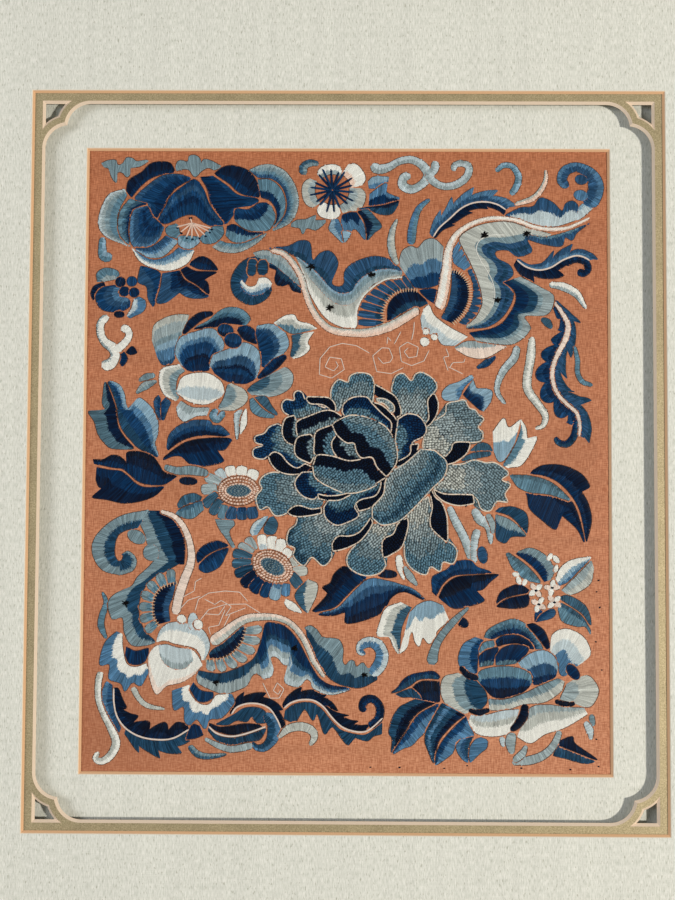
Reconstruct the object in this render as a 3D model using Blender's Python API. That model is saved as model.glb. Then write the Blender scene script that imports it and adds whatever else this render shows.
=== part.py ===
"""A framed embroidered silk panel, lying on its back with its face up.

From the back to the front: a backing board, the silk, an inner mat with a plain bevelled window, four
spacer strips, a gold mat whose window has shaped corners with a pierced cut-out in each, an outer mat,
and a plain mitred frame whose lip holds the stack. The origin is the middle of the back, +Y is the top
edge of the hung picture and +Z faces the viewer. All sizes are in metres.
"""

from math import atan2, cos, pi, sin, sqrt

import bmesh
import bpy

# Sizes of the windows and boards, and the heights that the stack of layers gives
GAP = 0.0003  # left between pieces that touch
SILK_WINDOW = (0.257, 0.305)  # inner mat, measured at the upper edge of its bevel
OUTER_WINDOW = (0.308, 0.358)  # outer mat, measured in the same way
GOLD_REVEAL = 0.0049  # from the outer mat's upper edge to the gold mat's upper edge
BOARD_SIZE = (0.420, 0.470)
MAT_THICKNESS = 0.0013
BACKING_THICKNESS = 0.0030
SILK_SIZE = (0.277, 0.325)
SILK_THICKNESS = 0.0010
SPACER_THICKNESS = 0.0040
SPACER_WIDTH = 0.040

BACKING_TOP = BACKING_THICKNESS
SILK_BASE = BACKING_TOP + GAP
INNER_MAT_BASE = SILK_BASE + SILK_THICKNESS + GAP
SPACER_BASE = INNER_MAT_BASE + MAT_THICKNESS + GAP
GOLD_MAT_BASE = SPACER_BASE + SPACER_THICKNESS + GAP
OUTER_MAT_BASE = GOLD_MAT_BASE + MAT_THICKNESS + GAP
LIP_BASE = OUTER_MAT_BASE + MAT_THICKNESS + GAP

# Shaped corner of the gold mat: two arcs that meet in a cusp on the corner's diagonal
CORNER_RADIUS = 0.0130
CORNER_REACH = 0.0235  # from the corner of the straight edges to where an arc leaves one
BAND_WIDTH = 0.0029  # gold left between the window's arcs and the pierced cut-out
WINDOW_ARC_STEPS = 8
CUT_OUT_ARC_STEPS = 5

# Section of the frame, from its sight edge outwards
SIGHT_SIZE = (0.407, 0.457)
FRAME_WIDTH = 0.0200
FRAME_HEIGHT = 0.0200
FRAME_EDGE_HEIGHT = 0.0165  # where the rounded face meets the inner and outer sides
REBATE_WIDTH = 0.0070
FACE_STEPS = 8
MITRE_CUT = GAP / sqrt(2)  # what each rail loses along its length for the mitre's gap


def finish(name, colour, roughness, metallic=0.0):
    material = bpy.data.materials.new(name)
    material.use_nodes = True
    shader = material.node_tree.nodes["Principled BSDF"]
    shader.inputs["Base Color"].default_value = (*colour, 1.0)
    shader.inputs["Roughness"].default_value = roughness
    shader.inputs["Metallic"].default_value = metallic
    return material


def add_object(name, mesh_builder, material):
    """Turns a finished bmesh into an object with outward faces."""
    bmesh.ops.recalc_face_normals(mesh_builder, faces=mesh_builder.faces)
    mesh = bpy.data.meshes.new(name)
    mesh_builder.to_mesh(mesh)
    mesh_builder.free()
    mesh.materials.append(material)
    piece = bpy.data.objects.new(name, mesh)
    bpy.context.scene.collection.objects.link(piece)
    return piece


def rectangle(size, centre=(0.0, 0.0)):
    half_x, half_y = size[0] / 2, size[1] / 2
    corners = ((-half_x, -half_y), (half_x, -half_y), (half_x, half_y), (-half_x, half_y))
    return [(x + centre[0], y + centre[1]) for x, y in corners]


def add_board(name, outline, base, thickness, material, windows=()):
    """A flat board. Each window is a pair of outlines with equal point counts: upper edge, lower edge."""
    builder = bmesh.new()
    rims = {"upper": [], "lower": []}
    for upper, lower in [(outline, outline), *windows]:
        upper_points = [builder.verts.new((x, y, base + thickness)) for x, y in upper]
        lower_points = [builder.verts.new((x, y, base)) for x, y in lower]
        count = len(upper_points)
        for i in range(count):
            following = (i + 1) % count
            builder.faces.new(
                (
                    upper_points[i],
                    upper_points[following],
                    lower_points[following],
                    lower_points[i],
                )
            )
            rims["upper"].append(builder.edges.get((upper_points[i], upper_points[following])))
            rims["lower"].append(builder.edges.get((lower_points[i], lower_points[following])))
    for rim in rims.values():
        bmesh.ops.triangle_fill(builder, edges=rim, use_beauty=True)
    return add_object(name, builder, material)


def cusp_distance(radius):
    """How far along each edge from the corner two equal corner arcs meet on the diagonal."""
    middle = (CORNER_REACH + CORNER_RADIUS) / 2
    half_difference = (CORNER_REACH - CORNER_RADIUS) / 2
    return middle - sqrt(radius**2 / 2 - half_difference**2)


def corner_arc(start, radius, steps):
    """Points from start to the cusp, round the centre of the arc that leaves the corner's first edge."""
    centre = (CORNER_REACH, CORNER_RADIUS)
    cusp = cusp_distance(radius)
    first = atan2(start[1] - centre[1], start[0] - centre[0])
    last = atan2(cusp - centre[1], cusp - centre[0])
    if last > first:
        last -= 2 * pi
    angles = [first + (last - first) * i / steps for i in range(steps + 1)]
    return [(centre[0] + radius * cos(a), centre[1] + radius * sin(a)) for a in angles]


def placed_in_corner(points, size, side_x, side_y):
    """Moves points measured inwards from a corner of the gold window to their place on the mat."""
    half_x, half_y = size[0] / 2, size[1] / 2
    return [(side_x * (half_x - a), side_y * (half_y - b)) for a, b in points]


def gold_window(size, inset):
    """The gold mat's window, drawn in by inset all round, as one closed outline."""
    arc = corner_arc((CORNER_REACH, inset), CORNER_RADIUS - inset, WINDOW_ARC_STEPS)
    mirrored = [(b, a) for a, b in arc]
    up_to_corner = mirrored[:-1] + arc[::-1]  # along the upright edge, round, then the level edge
    away_from_corner = up_to_corner[::-1]
    return [
        *placed_in_corner(up_to_corner, size, 1, 1),
        *placed_in_corner(away_from_corner, size, -1, 1),
        *placed_in_corner(up_to_corner, size, -1, -1),
        *placed_in_corner(away_from_corner, size, 1, -1),
    ]


def corner_cut_out(size, inset, side_x, side_y):
    """The pierced three-sided opening in one corner, drawn in by inset all round."""
    radius = CORNER_RADIUS + BAND_WIDTH + inset
    tip = CORNER_REACH - sqrt(radius**2 - (CORNER_RADIUS - inset) ** 2)
    arc = corner_arc((tip, inset), radius, CUT_OUT_ARC_STEPS)
    mirrored = [(b, a) for a, b in arc]
    points = [(inset, inset), *arc, *mirrored[-2::-1]]
    return placed_in_corner(points, size, side_x, side_y)


def add_mats():
    """The three cut mats. Every window is cut at 45 degrees, so its lower edge is one thickness in."""
    mat_cloth = finish("mat_cloth", (0.69, 0.70, 0.62), 0.85)
    gold_paper = finish("gold_paper", (0.45, 0.38, 0.20), 0.45, 0.6)
    for name, window, base in (
        ("inner_mat", SILK_WINDOW, INNER_MAT_BASE),
        ("outer_mat", OUTER_WINDOW, OUTER_MAT_BASE),
    ):
        lower_size = [side - 2 * MAT_THICKNESS for side in window]
        cut = (rectangle(window), rectangle(lower_size))
        add_board(name, rectangle(BOARD_SIZE), base, MAT_THICKNESS, mat_cloth, [cut])
    gold_size = [side - 2 * GOLD_REVEAL for side in OUTER_WINDOW]
    cuts = [(gold_window(gold_size, 0.0), gold_window(gold_size, MAT_THICKNESS))]
    for side_x, side_y in ((1, 1), (-1, 1), (-1, -1), (1, -1)):
        upper = corner_cut_out(gold_size, 0.0, side_x, side_y)
        lower = corner_cut_out(gold_size, MAT_THICKNESS, side_x, side_y)
        cuts.append((upper, lower))
    add_board("gold_mat", rectangle(BOARD_SIZE), GOLD_MAT_BASE, MAT_THICKNESS, gold_paper, cuts)


def add_back_layers():
    """The backing board, and the silk that lies on it under the inner mat."""
    board = finish("backing_board", (0.42, 0.33, 0.22), 0.9)
    silk = finish("silk", (0.55, 0.20, 0.09), 0.6)
    add_board("backing_board", rectangle(BOARD_SIZE), 0.0, BACKING_THICKNESS, board)
    add_board("silk_panel", rectangle(SILK_SIZE), SILK_BASE, SILK_THICKNESS, silk)


def add_spacers():
    """Four strips near the boards' edges, which hold the gold mat off the inner mat."""
    strip = finish("spacer_board", (0.75, 0.74, 0.70), 0.9)
    across = BOARD_SIZE[0]
    between = BOARD_SIZE[1] - 2 * SPACER_WIDTH - 2 * GAP
    level_place = (BOARD_SIZE[1] - SPACER_WIDTH) / 2
    upright_place = (BOARD_SIZE[0] - SPACER_WIDTH) / 2
    for name, size, centre in (
        ("spacer_top", (across, SPACER_WIDTH), (0.0, level_place)),
        ("spacer_bottom", (across, SPACER_WIDTH), (0.0, -level_place)),
        ("spacer_left", (SPACER_WIDTH, between), (-upright_place, 0.0)),
        ("spacer_right", (SPACER_WIDTH, between), (upright_place, 0.0)),
    ):
        add_board(name, rectangle(size, centre), SPACER_BASE, SPACER_THICKNESS, strip)


def rail_section():
    """Points (distance out from the sight edge, height) of the moulding, with a rounded face."""
    rise = FRAME_HEIGHT - FRAME_EDGE_HEIGHT
    face = []
    for i in range(FACE_STEPS + 1):
        turn = pi * (1 - i / FACE_STEPS)
        out = FRAME_WIDTH / 2 * (1 + cos(turn))
        face.append((out, FRAME_EDGE_HEIGHT + rise * sin(turn)))
    return [(0.0, LIP_BASE), *face, (FRAME_WIDTH, 0.0), (REBATE_WIDTH, 0.0), (REBATE_WIDTH, LIP_BASE)]


def add_rail(name, material, level, side):
    """One mitred rail. A level rail runs along X; side is the sign of its place across the frame."""
    half_length, half_across = SIGHT_SIZE[0] / 2, SIGHT_SIZE[1] / 2
    if not level:
        half_length, half_across = half_across, half_length
    builder = bmesh.new()
    ends = []
    for end in (-1, 1):
        ring = []
        for out, height in rail_section():
            along = end * (half_length + out - MITRE_CUT)
            across = side * (half_across + out)
            place = (along, across, height) if level else (across, along, height)
            ring.append(builder.verts.new(place))
        ends.append(ring)
        builder.faces.new(ring)
    count = len(ends[0])
    for i in range(count):
        following = (i + 1) % count
        builder.faces.new((ends[0][i], ends[0][following], ends[1][following], ends[1][i]))
    bmesh.ops.triangulate(builder, faces=builder.faces)
    rail = add_object(name, builder, material)
    rail.data.shade_smooth()
    rail.data.set_sharp_from_angle(angle=pi / 5)
    return rail


def add_frame():
    wood = finish("frame_wood", (0.12, 0.05, 0.025), 0.4)
    add_rail("frame_top", wood, True, 1)
    add_rail("frame_bottom", wood, True, -1)
    add_rail("frame_left", wood, False, -1)
    add_rail("frame_right", wood, False, 1)


for old in list(bpy.data.objects):
    bpy.data.objects.remove(old, do_unlink=True)

add_back_layers()
add_mats()
add_spacers()
add_frame()
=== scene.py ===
"""An embroidered silk panel in its mats and frame, lying face up on a pale floor.

The silk is a coral ground with peonies, chrysanthemums, prunus blossom, leaves and two bats, worked in
blue and white floss: satin stitch with a thin line of bare silk left between shapes, looped knots on
the middle flower, and laid cream thread. Embroidery is charted in millimetres across and down from the
upper left corner of the mat's window. Everything else is in metres, with +Y the top and +Z the face.
"""

from math import atan2, cos, exp, pi, radians, sin, sqrt

import bmesh
import bpy
import numpy as np
from mathutils import Euler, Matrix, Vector


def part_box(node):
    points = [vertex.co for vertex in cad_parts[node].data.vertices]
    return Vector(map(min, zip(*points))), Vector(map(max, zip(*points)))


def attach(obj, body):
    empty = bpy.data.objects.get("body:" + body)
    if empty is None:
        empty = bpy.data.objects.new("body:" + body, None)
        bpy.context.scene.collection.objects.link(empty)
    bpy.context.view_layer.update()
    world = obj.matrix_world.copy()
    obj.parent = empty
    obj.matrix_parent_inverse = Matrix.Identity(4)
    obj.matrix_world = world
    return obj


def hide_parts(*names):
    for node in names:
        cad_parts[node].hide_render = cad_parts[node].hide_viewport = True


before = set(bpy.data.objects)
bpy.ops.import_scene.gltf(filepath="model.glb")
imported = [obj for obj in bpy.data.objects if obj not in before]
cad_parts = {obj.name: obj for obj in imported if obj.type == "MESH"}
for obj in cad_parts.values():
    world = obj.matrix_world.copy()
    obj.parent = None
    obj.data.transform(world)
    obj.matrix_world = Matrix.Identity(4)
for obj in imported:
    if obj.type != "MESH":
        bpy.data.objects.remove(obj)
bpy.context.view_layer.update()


def add_object(name, data):
    """A new object of the scene."""
    made = bpy.data.objects.new(name, data)
    bpy.context.scene.collection.objects.link(made)
    return made


# The camera hangs over the panel, a little below its middle and tilted as the photograph was taken.
# The lens gives the photograph's field of view on the sensor's upright side.
camera_data = bpy.data.cameras.new("camera")
camera_data.sensor_fit = "VERTICAL"
camera_data.sensor_height = 24.0
camera_data.lens = 36.05
camera = add_object("camera", camera_data)
camera.location = (0.00143, -0.03056, 0.66115)
camera.rotation_euler = Euler((radians(3.023), radians(0.501), radians(0.262)), "XYZ")
bpy.context.scene.camera = camera
bpy.context.scene.view_settings.view_transform = "Standard"


def linear(hex_colour):
    """An sRGB hex colour as linear red, green, blue and an alpha of 1."""
    parts = [int(hex_colour[i : i + 2], 16) / 255 for i in (1, 3, 5)]
    return (*[((c + 0.055) / 1.055) ** 2.4 if c > 0.04045 else c / 12.92 for c in parts], 1.0)


# Studio light: a small main lamp low on the right, which gives the mats their sharp shadow, a broad
# weak one on the left, and an even pale surround.
def add_lamp(name, place, width, watts, colour):
    lamp = bpy.data.lights.new(name, "AREA")
    lamp.size = width
    lamp.energy = watts
    lamp.color = linear(colour)[:3]
    holder = add_object(name, lamp)
    holder.location = place
    holder.rotation_euler = (-Vector(place)).to_track_quat("-Z", "Y").to_euler()


add_lamp("lamp_right", place=(1.77, -0.30, 1.92), width=0.17, watts=55.5, colour="#FFF6E8")
add_lamp("lamp_left", place=(-1.90, 0.30, 1.50), width=1.00, watts=25.5, colour="#F4F4F6")
world = bpy.data.worlds.new("surround")
world.use_nodes = True
world.node_tree.nodes["Background"].inputs["Color"].default_value = linear("#F2F1EE")
world.node_tree.nodes["Background"].inputs["Strength"].default_value = 0.18
bpy.context.scene.world = world


def set_inputs(node, inputs):
    """Sets a node's inputs to values, or links them from a socket or from a node's first output in use."""
    for name, value in inputs.items():
        if isinstance(value, bpy.types.Node):
            value = next(output for output in value.outputs if output.enabled)
        if isinstance(value, bpy.types.NodeSocket):
            node.id_data.links.new(value, node.inputs[name])
        else:
            node.inputs[name].default_value = value


def add_node(tree, kind, inputs=None, **settings):
    """Adds a shader node with its settings and its inputs."""
    made = tree.nodes.new("ShaderNode" + kind)
    for name, value in settings.items():
        setattr(made, name, value)
    set_inputs(made, inputs or {})
    return made


def new_material(name, roughness, metallic=0.0, ior=1.5, sheen=0.0):
    """A material with the given typical values, returned with its node tree and its shader."""
    material = bpy.data.materials.new(name)
    material.use_nodes = True
    shader = material.node_tree.nodes["Principled BSDF"]
    set_inputs(shader, {"Roughness": roughness, "Metallic": metallic, "Sheen Weight": sheen})
    if metallic == 0.0:
        set_inputs(shader, {"IOR": ior})
    return material, material.node_tree, shader


# Floor: a plain painted board that the framed panel lies on. Its paint is matt, with a faint mottle.
FLOOR_WIDTH = 6.0
floor_mesh = bmesh.new()
bmesh.ops.create_grid(floor_mesh, x_segments=2, y_segments=2, size=FLOOR_WIDTH / 2)
floor_data = bpy.data.meshes.new("floor")
floor_mesh.to_mesh(floor_data)
floor_mesh.free()
floor = add_object("floor", floor_data)
floor.location.z = -0.0001  # just under the panel's back
floor_paint, tree, shader = new_material("floor_matt_paint", 0.8)
mottle = add_node(tree, "TexNoise", {"Scale": 3.0, "Detail": 3.0})
mixed = add_node(tree, "Mix", {"Factor": mottle, 6: linear("#D9D9D6"), 7: linear("#E2E2DF")},
                 data_type="RGBA")
set_inputs(shader, {"Base Color": mixed})
floor_data.materials.append(floor_paint)


# Frame: four mitred rails of dark stained hardwood with a rounded face and a satin varnish. Each rail's
# grain runs along it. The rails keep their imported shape.
def stretched_noise(tree, place, size, detail, roughness=0.5, distortion=0.0):
    """Noise whose marks are about as large as the size, in metres along X, Y and Z."""
    scale = [1 / side for side in size]
    stretched = add_node(tree, "Mapping", {"Vector": place, "Scale": scale})
    return add_node(tree, "TexNoise", {"Vector": stretched, "Scale": 1.0, "Detail": detail,
                                       "Roughness": roughness, "Distortion": distortion})


def stained_wood(name, along):
    """Stained hardwood whose grain runs along the given axis, 0 for X or 1 for Y."""
    material, tree, shader = new_material(name, 0.38)
    place = add_node(tree, "TexCoord").outputs["Object"]
    grain_size = [0.0035] * 3
    grain_size[along] = 0.16
    pore_size = [side / 4 for side in grain_size]
    grain = stretched_noise(tree, place, grain_size, detail=6.0, roughness=0.62, distortion=0.4)
    pores = stretched_noise(tree, place, pore_size, detail=2.0)
    depth = add_node(tree, "MapRange", {"Value": grain, "From Min": 0.32, "From Max": 0.7})
    colour = add_node(tree, "Mix", {"Factor": depth, 6: linear("#2E1A10"), 7: linear("#5C3A24")},
                      data_type="RGBA")
    pore = add_node(tree, "MapRange", {"Value": pores, "From Min": 0.36, "From Max": 0.46})
    open_pores = add_node(tree, "Mix", {"Factor": pore, 6: linear("#1E110A"), 7: colour}, data_type="RGBA")
    relief = add_node(tree, "Bump", {"Height": pore, "Strength": 0.25, "Distance": 0.0002})
    set_inputs(shader, {"Base Color": open_pores, "Normal": relief,
                        "Coat Weight": 0.25, "Coat Roughness": 0.2})
    return material


def dress(name, material):
    """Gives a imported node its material."""
    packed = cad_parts[name]
    packed.data.materials.clear()
    packed.data.materials.append(material)


level_wood = stained_wood("stained_hardwood_level", 0)
upright_wood = stained_wood("stained_hardwood_upright", 1)
for side in ("top", "bottom"):
    dress("frame_" + side, level_wood)
for side in ("left", "right"):
    dress("frame_" + side, upright_wood)


# Backing and spacers: grey-brown pulp board and white mount board, cut with a knife. Both stay as
# packed, hidden under the mats except at their edges.
def pulp_board(name, base, fleck, fleck_size):
    material, tree, shader = new_material(name, 0.9)
    place = add_node(tree, "TexCoord").outputs["Object"]
    fibres = add_node(tree, "TexNoise", {"Vector": place, "Scale": 1 / fleck_size, "Detail": 4.0})
    spread = add_node(tree, "MapRange", {"Value": fibres, "From Min": 0.35, "From Max": 0.65})
    colour = add_node(tree, "Mix", {"Factor": spread, 6: linear(base), 7: linear(fleck)}, data_type="RGBA")
    relief = add_node(tree, "Bump", {"Height": fibres, "Strength": 0.2, "Distance": 0.0002})
    set_inputs(shader, {"Base Color": colour, "Normal": relief})
    return material


grey_board = pulp_board("pulp_backing_board", "#9A8468", "#B29C7E", 0.0012)
mount_board = pulp_board("white_mount_board", "#D8D4C8", "#E6E2D8", 0.0008)
dress("backing_board", grey_board)
for side in ("top", "bottom", "left", "right"):
    dress("spacer_" + side, mount_board)


# Outer and inner mats: mount board with a tan core, faced with pale slubbed silk cloth. The window is
# cut through cloth and board together at 45 degrees, so the cloth's cut edge shows as a cream line.
CLOTH_THICKNESS = 0.0003
BEVEL_RUN = 1.0  # how far a cut runs inwards for each metre it goes down
MAT_SIZE = [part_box("outer_mat")[1][i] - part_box("outer_mat")[0][i] for i in (0, 1)]
SILK_WINDOW = (0.257, 0.305)
OUTER_WINDOW = (0.308, 0.358)


def rectangle(size, inset=0.0):
    half_x, half_y = size[0] / 2 - inset, size[1] / 2 - inset
    return [(-half_x, -half_y), (half_x, -half_y), (half_x, half_y), (-half_x, half_y)]


def cut_board(name, outline, windows, top, bottom, face_material, cut_material):
    """A flat board whose windows are pairs of outlines, upper edge and lower edge, with a bevel between."""
    builder = bmesh.new()
    rims = {"upper": [], "lower": []}
    walls = []
    for upper, lower in ((outline, outline), *windows):
        above = [builder.verts.new((x, y, top)) for x, y in upper]
        below = [builder.verts.new((x, y, bottom)) for x, y in lower]
        for i in range(len(above)):
            j = (i + 1) % len(above)
            walls.append(builder.faces.new((above[i], above[j], below[j], below[i])))
            rims["upper"].append(builder.edges.get((above[i], above[j])))
            rims["lower"].append(builder.edges.get((below[i], below[j])))
    for rim in rims.values():
        bmesh.ops.triangle_fill(builder, edges=rim, use_beauty=True)
    for wall in walls:
        wall.material_index = 1
    bmesh.ops.recalc_face_normals(builder, faces=builder.faces)
    data = bpy.data.meshes.new(name)
    builder.to_mesh(data)
    builder.free()
    data.materials.append(face_material)
    data.materials.append(cut_material)
    board = add_object(name, data)
    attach(board, "root")
    return board


def slubbed_cloth():
    """Slubbed silk in a greenish cream: fine upright ribs, thick and thin slubs and small dark flecks."""
    material, tree, shader = new_material("slubbed_silk_cloth", 0.85, sheen=0.15)
    place = add_node(tree, "TexCoord").outputs["Object"]
    rib_size = (0.0005, 0.0032, 1.0)  # real ribs are about half as wide, and too fine to show
    ribs = stretched_noise(tree, place, rib_size, detail=2.0, roughness=0.6)
    flecks = stretched_noise(tree, place, (0.0007, 0.0022, 1.0), detail=1.0)
    weft = stretched_noise(tree, place, (0.008, 0.0005, 1.0), detail=1.0)
    long_lines = stretched_noise(tree, place, (0.004, 0.12, 1.0), detail=3.0)
    pale = add_node(tree, "MapRange", {"Value": ribs, "From Min": 0.3, "From Max": 0.7})
    ground = add_node(tree, "Mix", {"Factor": pale, 6: linear("#C9CEC5"), 7: linear("#EDEFE9")},
                      data_type="RGBA")
    crossed = add_node(tree, "MapRange", {"Value": weft, "From Min": 0.2, "From Max": 0.8,
                                          "To Min": 0.96, "To Max": 1.03})
    lined = add_node(tree, "MapRange", {"Value": long_lines, "From Min": 0.3, "From Max": 0.7,
                                        "To Min": 0.965, "To Max": 1.035})
    shade = add_node(tree, "Math", {0: crossed, 1: lined}, operation="MULTIPLY")
    toned = add_node(tree, "VectorMath", {0: ground, "Scale": shade}, operation="SCALE")
    dark = add_node(tree, "MapRange", {"Value": flecks, "From Min": 0.62, "From Max": 0.76, "To Max": 0.6})
    flecked = add_node(tree, "Mix", {"Factor": dark, 6: toned, 7: linear("#90927F")}, data_type="RGBA")
    height = add_node(tree, "Math", {0: ribs, 1: weft}, operation="ADD")
    relief = add_node(tree, "Bump", {"Height": height, "Strength": 0.35, "Distance": 0.00015})
    set_inputs(shader, {"Base Color": flecked, "Normal": relief})
    return material


def layered_cut(name, light, dark, layer):
    """The cut edge of a board: its pressed layers show as fine level lines, one for each layer's height."""
    material, tree, shader = new_material(name, 0.8)
    place = add_node(tree, "TexCoord").outputs["Object"]
    up = add_node(tree, "SeparateXYZ", {0: place}).outputs["Z"]
    bend_size = 0.004
    wobble = add_node(tree, "TexNoise", {"Vector": place, "Scale": 1 / bend_size, "Detail": 3.0})
    waver = add_node(tree, "Math", {0: wobble, 1: layer * 0.8}, operation="MULTIPLY")
    level = add_node(tree, "Math", {0: up, 1: waver}, operation="ADD")
    turns = add_node(tree, "Math", {0: level, 1: 2 * pi / layer}, operation="MULTIPLY")
    wave = add_node(tree, "Math", {0: turns}, operation="SINE")
    half = add_node(tree, "MapRange", {"Value": wave, "From Min": -1.0, "From Max": 0.6})
    colour = add_node(tree, "Mix", {"Factor": half, 6: linear(dark), 7: linear(light)}, data_type="RGBA")
    relief = add_node(tree, "Bump", {"Height": half, "Strength": 0.3, "Distance": 0.00006})
    set_inputs(shader, {"Base Color": colour, "Normal": relief})
    return material


def cut_lip():
    """The cut edge of the cloth: pale fibres, matt."""
    material, tree, shader = new_material("cut_cloth_edge", 0.9)
    place = add_node(tree, "TexCoord").outputs["Object"]
    fray_size = 0.0012
    fray = add_node(tree, "TexNoise", {"Vector": place, "Scale": 1 / fray_size, "Detail": 2.0})
    colour = add_node(tree, "Mix", {"Factor": fray, 6: linear("#E6D6BE"), 7: linear("#F6EBDA")},
                      data_type="RGBA")
    set_inputs(shader, {"Base Color": colour})
    return material


mat_cloth = slubbed_cloth()
cloth_edge = cut_lip()
tan_core = layered_cut("tan_mount_board_core", "#ECC49B", "#D5A57B", 0.00033)
for name, window in (("outer_mat", OUTER_WINDOW), ("inner_mat", SILK_WINDOW)):
    low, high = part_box(name)
    seam = high.z - CLOTH_THICKNESS
    at_seam = rectangle(window, CLOTH_THICKNESS * BEVEL_RUN)
    at_bottom = rectangle(window, (high.z - low.z) * BEVEL_RUN)
    core = cut_board(name + "_core", rectangle(MAT_SIZE), [(at_seam, at_bottom)], seam, low.z,
                     tan_core, tan_core)
    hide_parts(name)
    cloth = cut_board(name + "_facing", rectangle(MAT_SIZE), [(rectangle(window), at_seam)], high.z, seam,
                      mat_cloth, cloth_edge)


# Gold mat: mount board faced with gold paper, its window shaped in each corner by two arcs that meet in
# a cusp, with a three-sided opening pierced beside them. All its edges are cut at 45 degrees.
GOLD_REVEAL = 0.0049
CORNER_RADIUS = 0.0130
CORNER_REACH = 0.0235
BAND_WIDTH = 0.0029
ARC_STEPS = 22
gold_low, gold_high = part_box("gold_mat")
gold_depth = gold_high.z - gold_low.z
gold_size = [side - 2 * GOLD_REVEAL for side in OUTER_WINDOW]


def corner_arc(start, radius):
    """Points from start to the cusp, round the centre of the arc that leaves the corner's first edge."""
    centre = (CORNER_REACH, CORNER_RADIUS)
    middle = (CORNER_REACH + CORNER_RADIUS) / 2
    half_difference = (CORNER_REACH - CORNER_RADIUS) / 2
    cusp = middle - sqrt(radius**2 / 2 - half_difference**2)
    first = atan2(start[1] - centre[1], start[0] - centre[0])
    last = atan2(cusp - centre[1], cusp - centre[0])
    if last > first:
        last -= 2 * pi
    angles = [first + (last - first) * i / ARC_STEPS for i in range(ARC_STEPS + 1)]
    return [(centre[0] + radius * cos(a), centre[1] + radius * sin(a)) for a in angles]


def in_corner(points, side_x, side_y):
    """Moves points measured inwards from a corner of the gold window to their place on the mat."""
    return [(side_x * (gold_size[0] / 2 - a), side_y * (gold_size[1] / 2 - b)) for a, b in points]


def gold_window(inset):
    arc = corner_arc((CORNER_REACH, inset), CORNER_RADIUS - inset)
    up_to_corner = [(b, a) for a, b in arc][:-1] + arc[::-1]
    away = up_to_corner[::-1]
    return [*in_corner(up_to_corner, 1, 1), *in_corner(away, -1, 1),
            *in_corner(up_to_corner, -1, -1), *in_corner(away, 1, -1)]


def pierced_corner(inset, side_x, side_y):
    radius = CORNER_RADIUS + BAND_WIDTH + inset
    tip = CORNER_REACH - sqrt(radius**2 - (CORNER_RADIUS - inset) ** 2)
    arc = corner_arc((tip, inset), radius)
    mirrored = [(b, a) for a, b in arc]
    return in_corner([(inset, inset), *arc, *mirrored[-2::-1]], side_x, side_y)


# Gold paper: a bronze-powder coating on paper, dull and slightly grainy, so only partly metallic.
gold_paper, tree, shader = new_material("gold_powder_paper", 0.42, metallic=0.5)
place = add_node(tree, "TexCoord").outputs["Object"]
grain_size = 0.0007
worn_size = 0.011
grain = add_node(tree, "TexNoise", {"Vector": place, "Scale": 1 / grain_size, "Detail": 3.0,
                                    "Roughness": 0.7})
worn = add_node(tree, "TexNoise", {"Vector": place, "Scale": 1 / worn_size, "Detail": 2.0})
sparkle = add_node(tree, "MapRange", {"Value": grain, "From Min": 0.3, "From Max": 0.7})
powder = add_node(tree, "Mix", {"Factor": sparkle, 6: linear("#9E906E"), 7: linear("#D8CAA4")},
                  data_type="RGBA")
dulled = add_node(tree, "MapRange", {"Value": worn, "From Min": 0.3, "From Max": 0.7,
                                     "To Min": 0.9, "To Max": 1.05})
toned = add_node(tree, "VectorMath", {0: powder, "Scale": dulled}, operation="SCALE")
relief = add_node(tree, "Bump", {"Height": grain, "Strength": 0.5, "Distance": 0.0001})
set_inputs(shader, {"Base Color": toned, "Normal": relief})
pale_core = layered_cut("pale_mount_board_core", "#F0DFCB", "#DCC6AE", 0.0004)
cuts = [(gold_window(0.0), gold_window(gold_depth))]
for side_x, side_y in ((1, 1), (-1, 1), (-1, -1), (1, -1)):
    cuts.append((pierced_corner(0.0, side_x, side_y), pierced_corner(gold_depth, side_x, side_y)))
gold_mat = cut_board("gold_mat_board", rectangle(MAT_SIZE), cuts, gold_high.z, gold_low.z,
                     gold_paper, pale_core)
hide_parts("gold_mat")


# Silk ground: plain-woven coral silk, stretched flat on its backing and held under the inner mat. It
# lies almost flat, with a few level creases where it was once folded, and old brown stains.
silk_low, silk_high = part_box("silk_panel")
SILK_SIZE = (silk_high.x - silk_low.x, silk_high.y - silk_low.y)
SILK_GRID = 0.0025
CREASE_DEPTH = 0.00005
columns = round(SILK_SIZE[0] / SILK_GRID)
rows = round(SILK_SIZE[1] / SILK_GRID)
builder = bmesh.new()
bmesh.ops.create_grid(builder, x_segments=columns, y_segments=rows, size=0.5)
for vertex in builder.verts:
    x, y = vertex.co.x * SILK_SIZE[0], vertex.co.y * SILK_SIZE[1]
    crease = sin(y * 190 + 0.6 * sin(x * 23)) * sin(y * 37 + x * 9) + 0.4 * sin(x * 61 + 1.3 * sin(y * 31))
    vertex.co = (x, y, silk_high.z - CREASE_DEPTH * (1.0 - 0.7 * crease))
border = [edge for edge in builder.edges if edge.is_boundary]
rim = dict.fromkeys(point for edge in border for point in edge.verts)
below = {point: builder.verts.new((point.co.x, point.co.y, silk_low.z)) for point in rim}
lower_edges = []
for edge in border:
    first, last = edge.verts
    builder.faces.new((first, last, below[last], below[first]))
    lower_edges.append(builder.edges.get((below[first], below[last])))
bmesh.ops.contextual_create(builder, geom=lower_edges)
bmesh.ops.recalc_face_normals(builder, faces=builder.faces)
silk_data = bpy.data.meshes.new("silk_ground")
builder.to_mesh(silk_data)
builder.free()
silk_data.shade_smooth()
silk_data.set_sharp_from_angle(angle=pi / 4)
silk_ground = add_object("silk_ground", silk_data)
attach(silk_ground, "root")
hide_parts("silk_panel")

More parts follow.
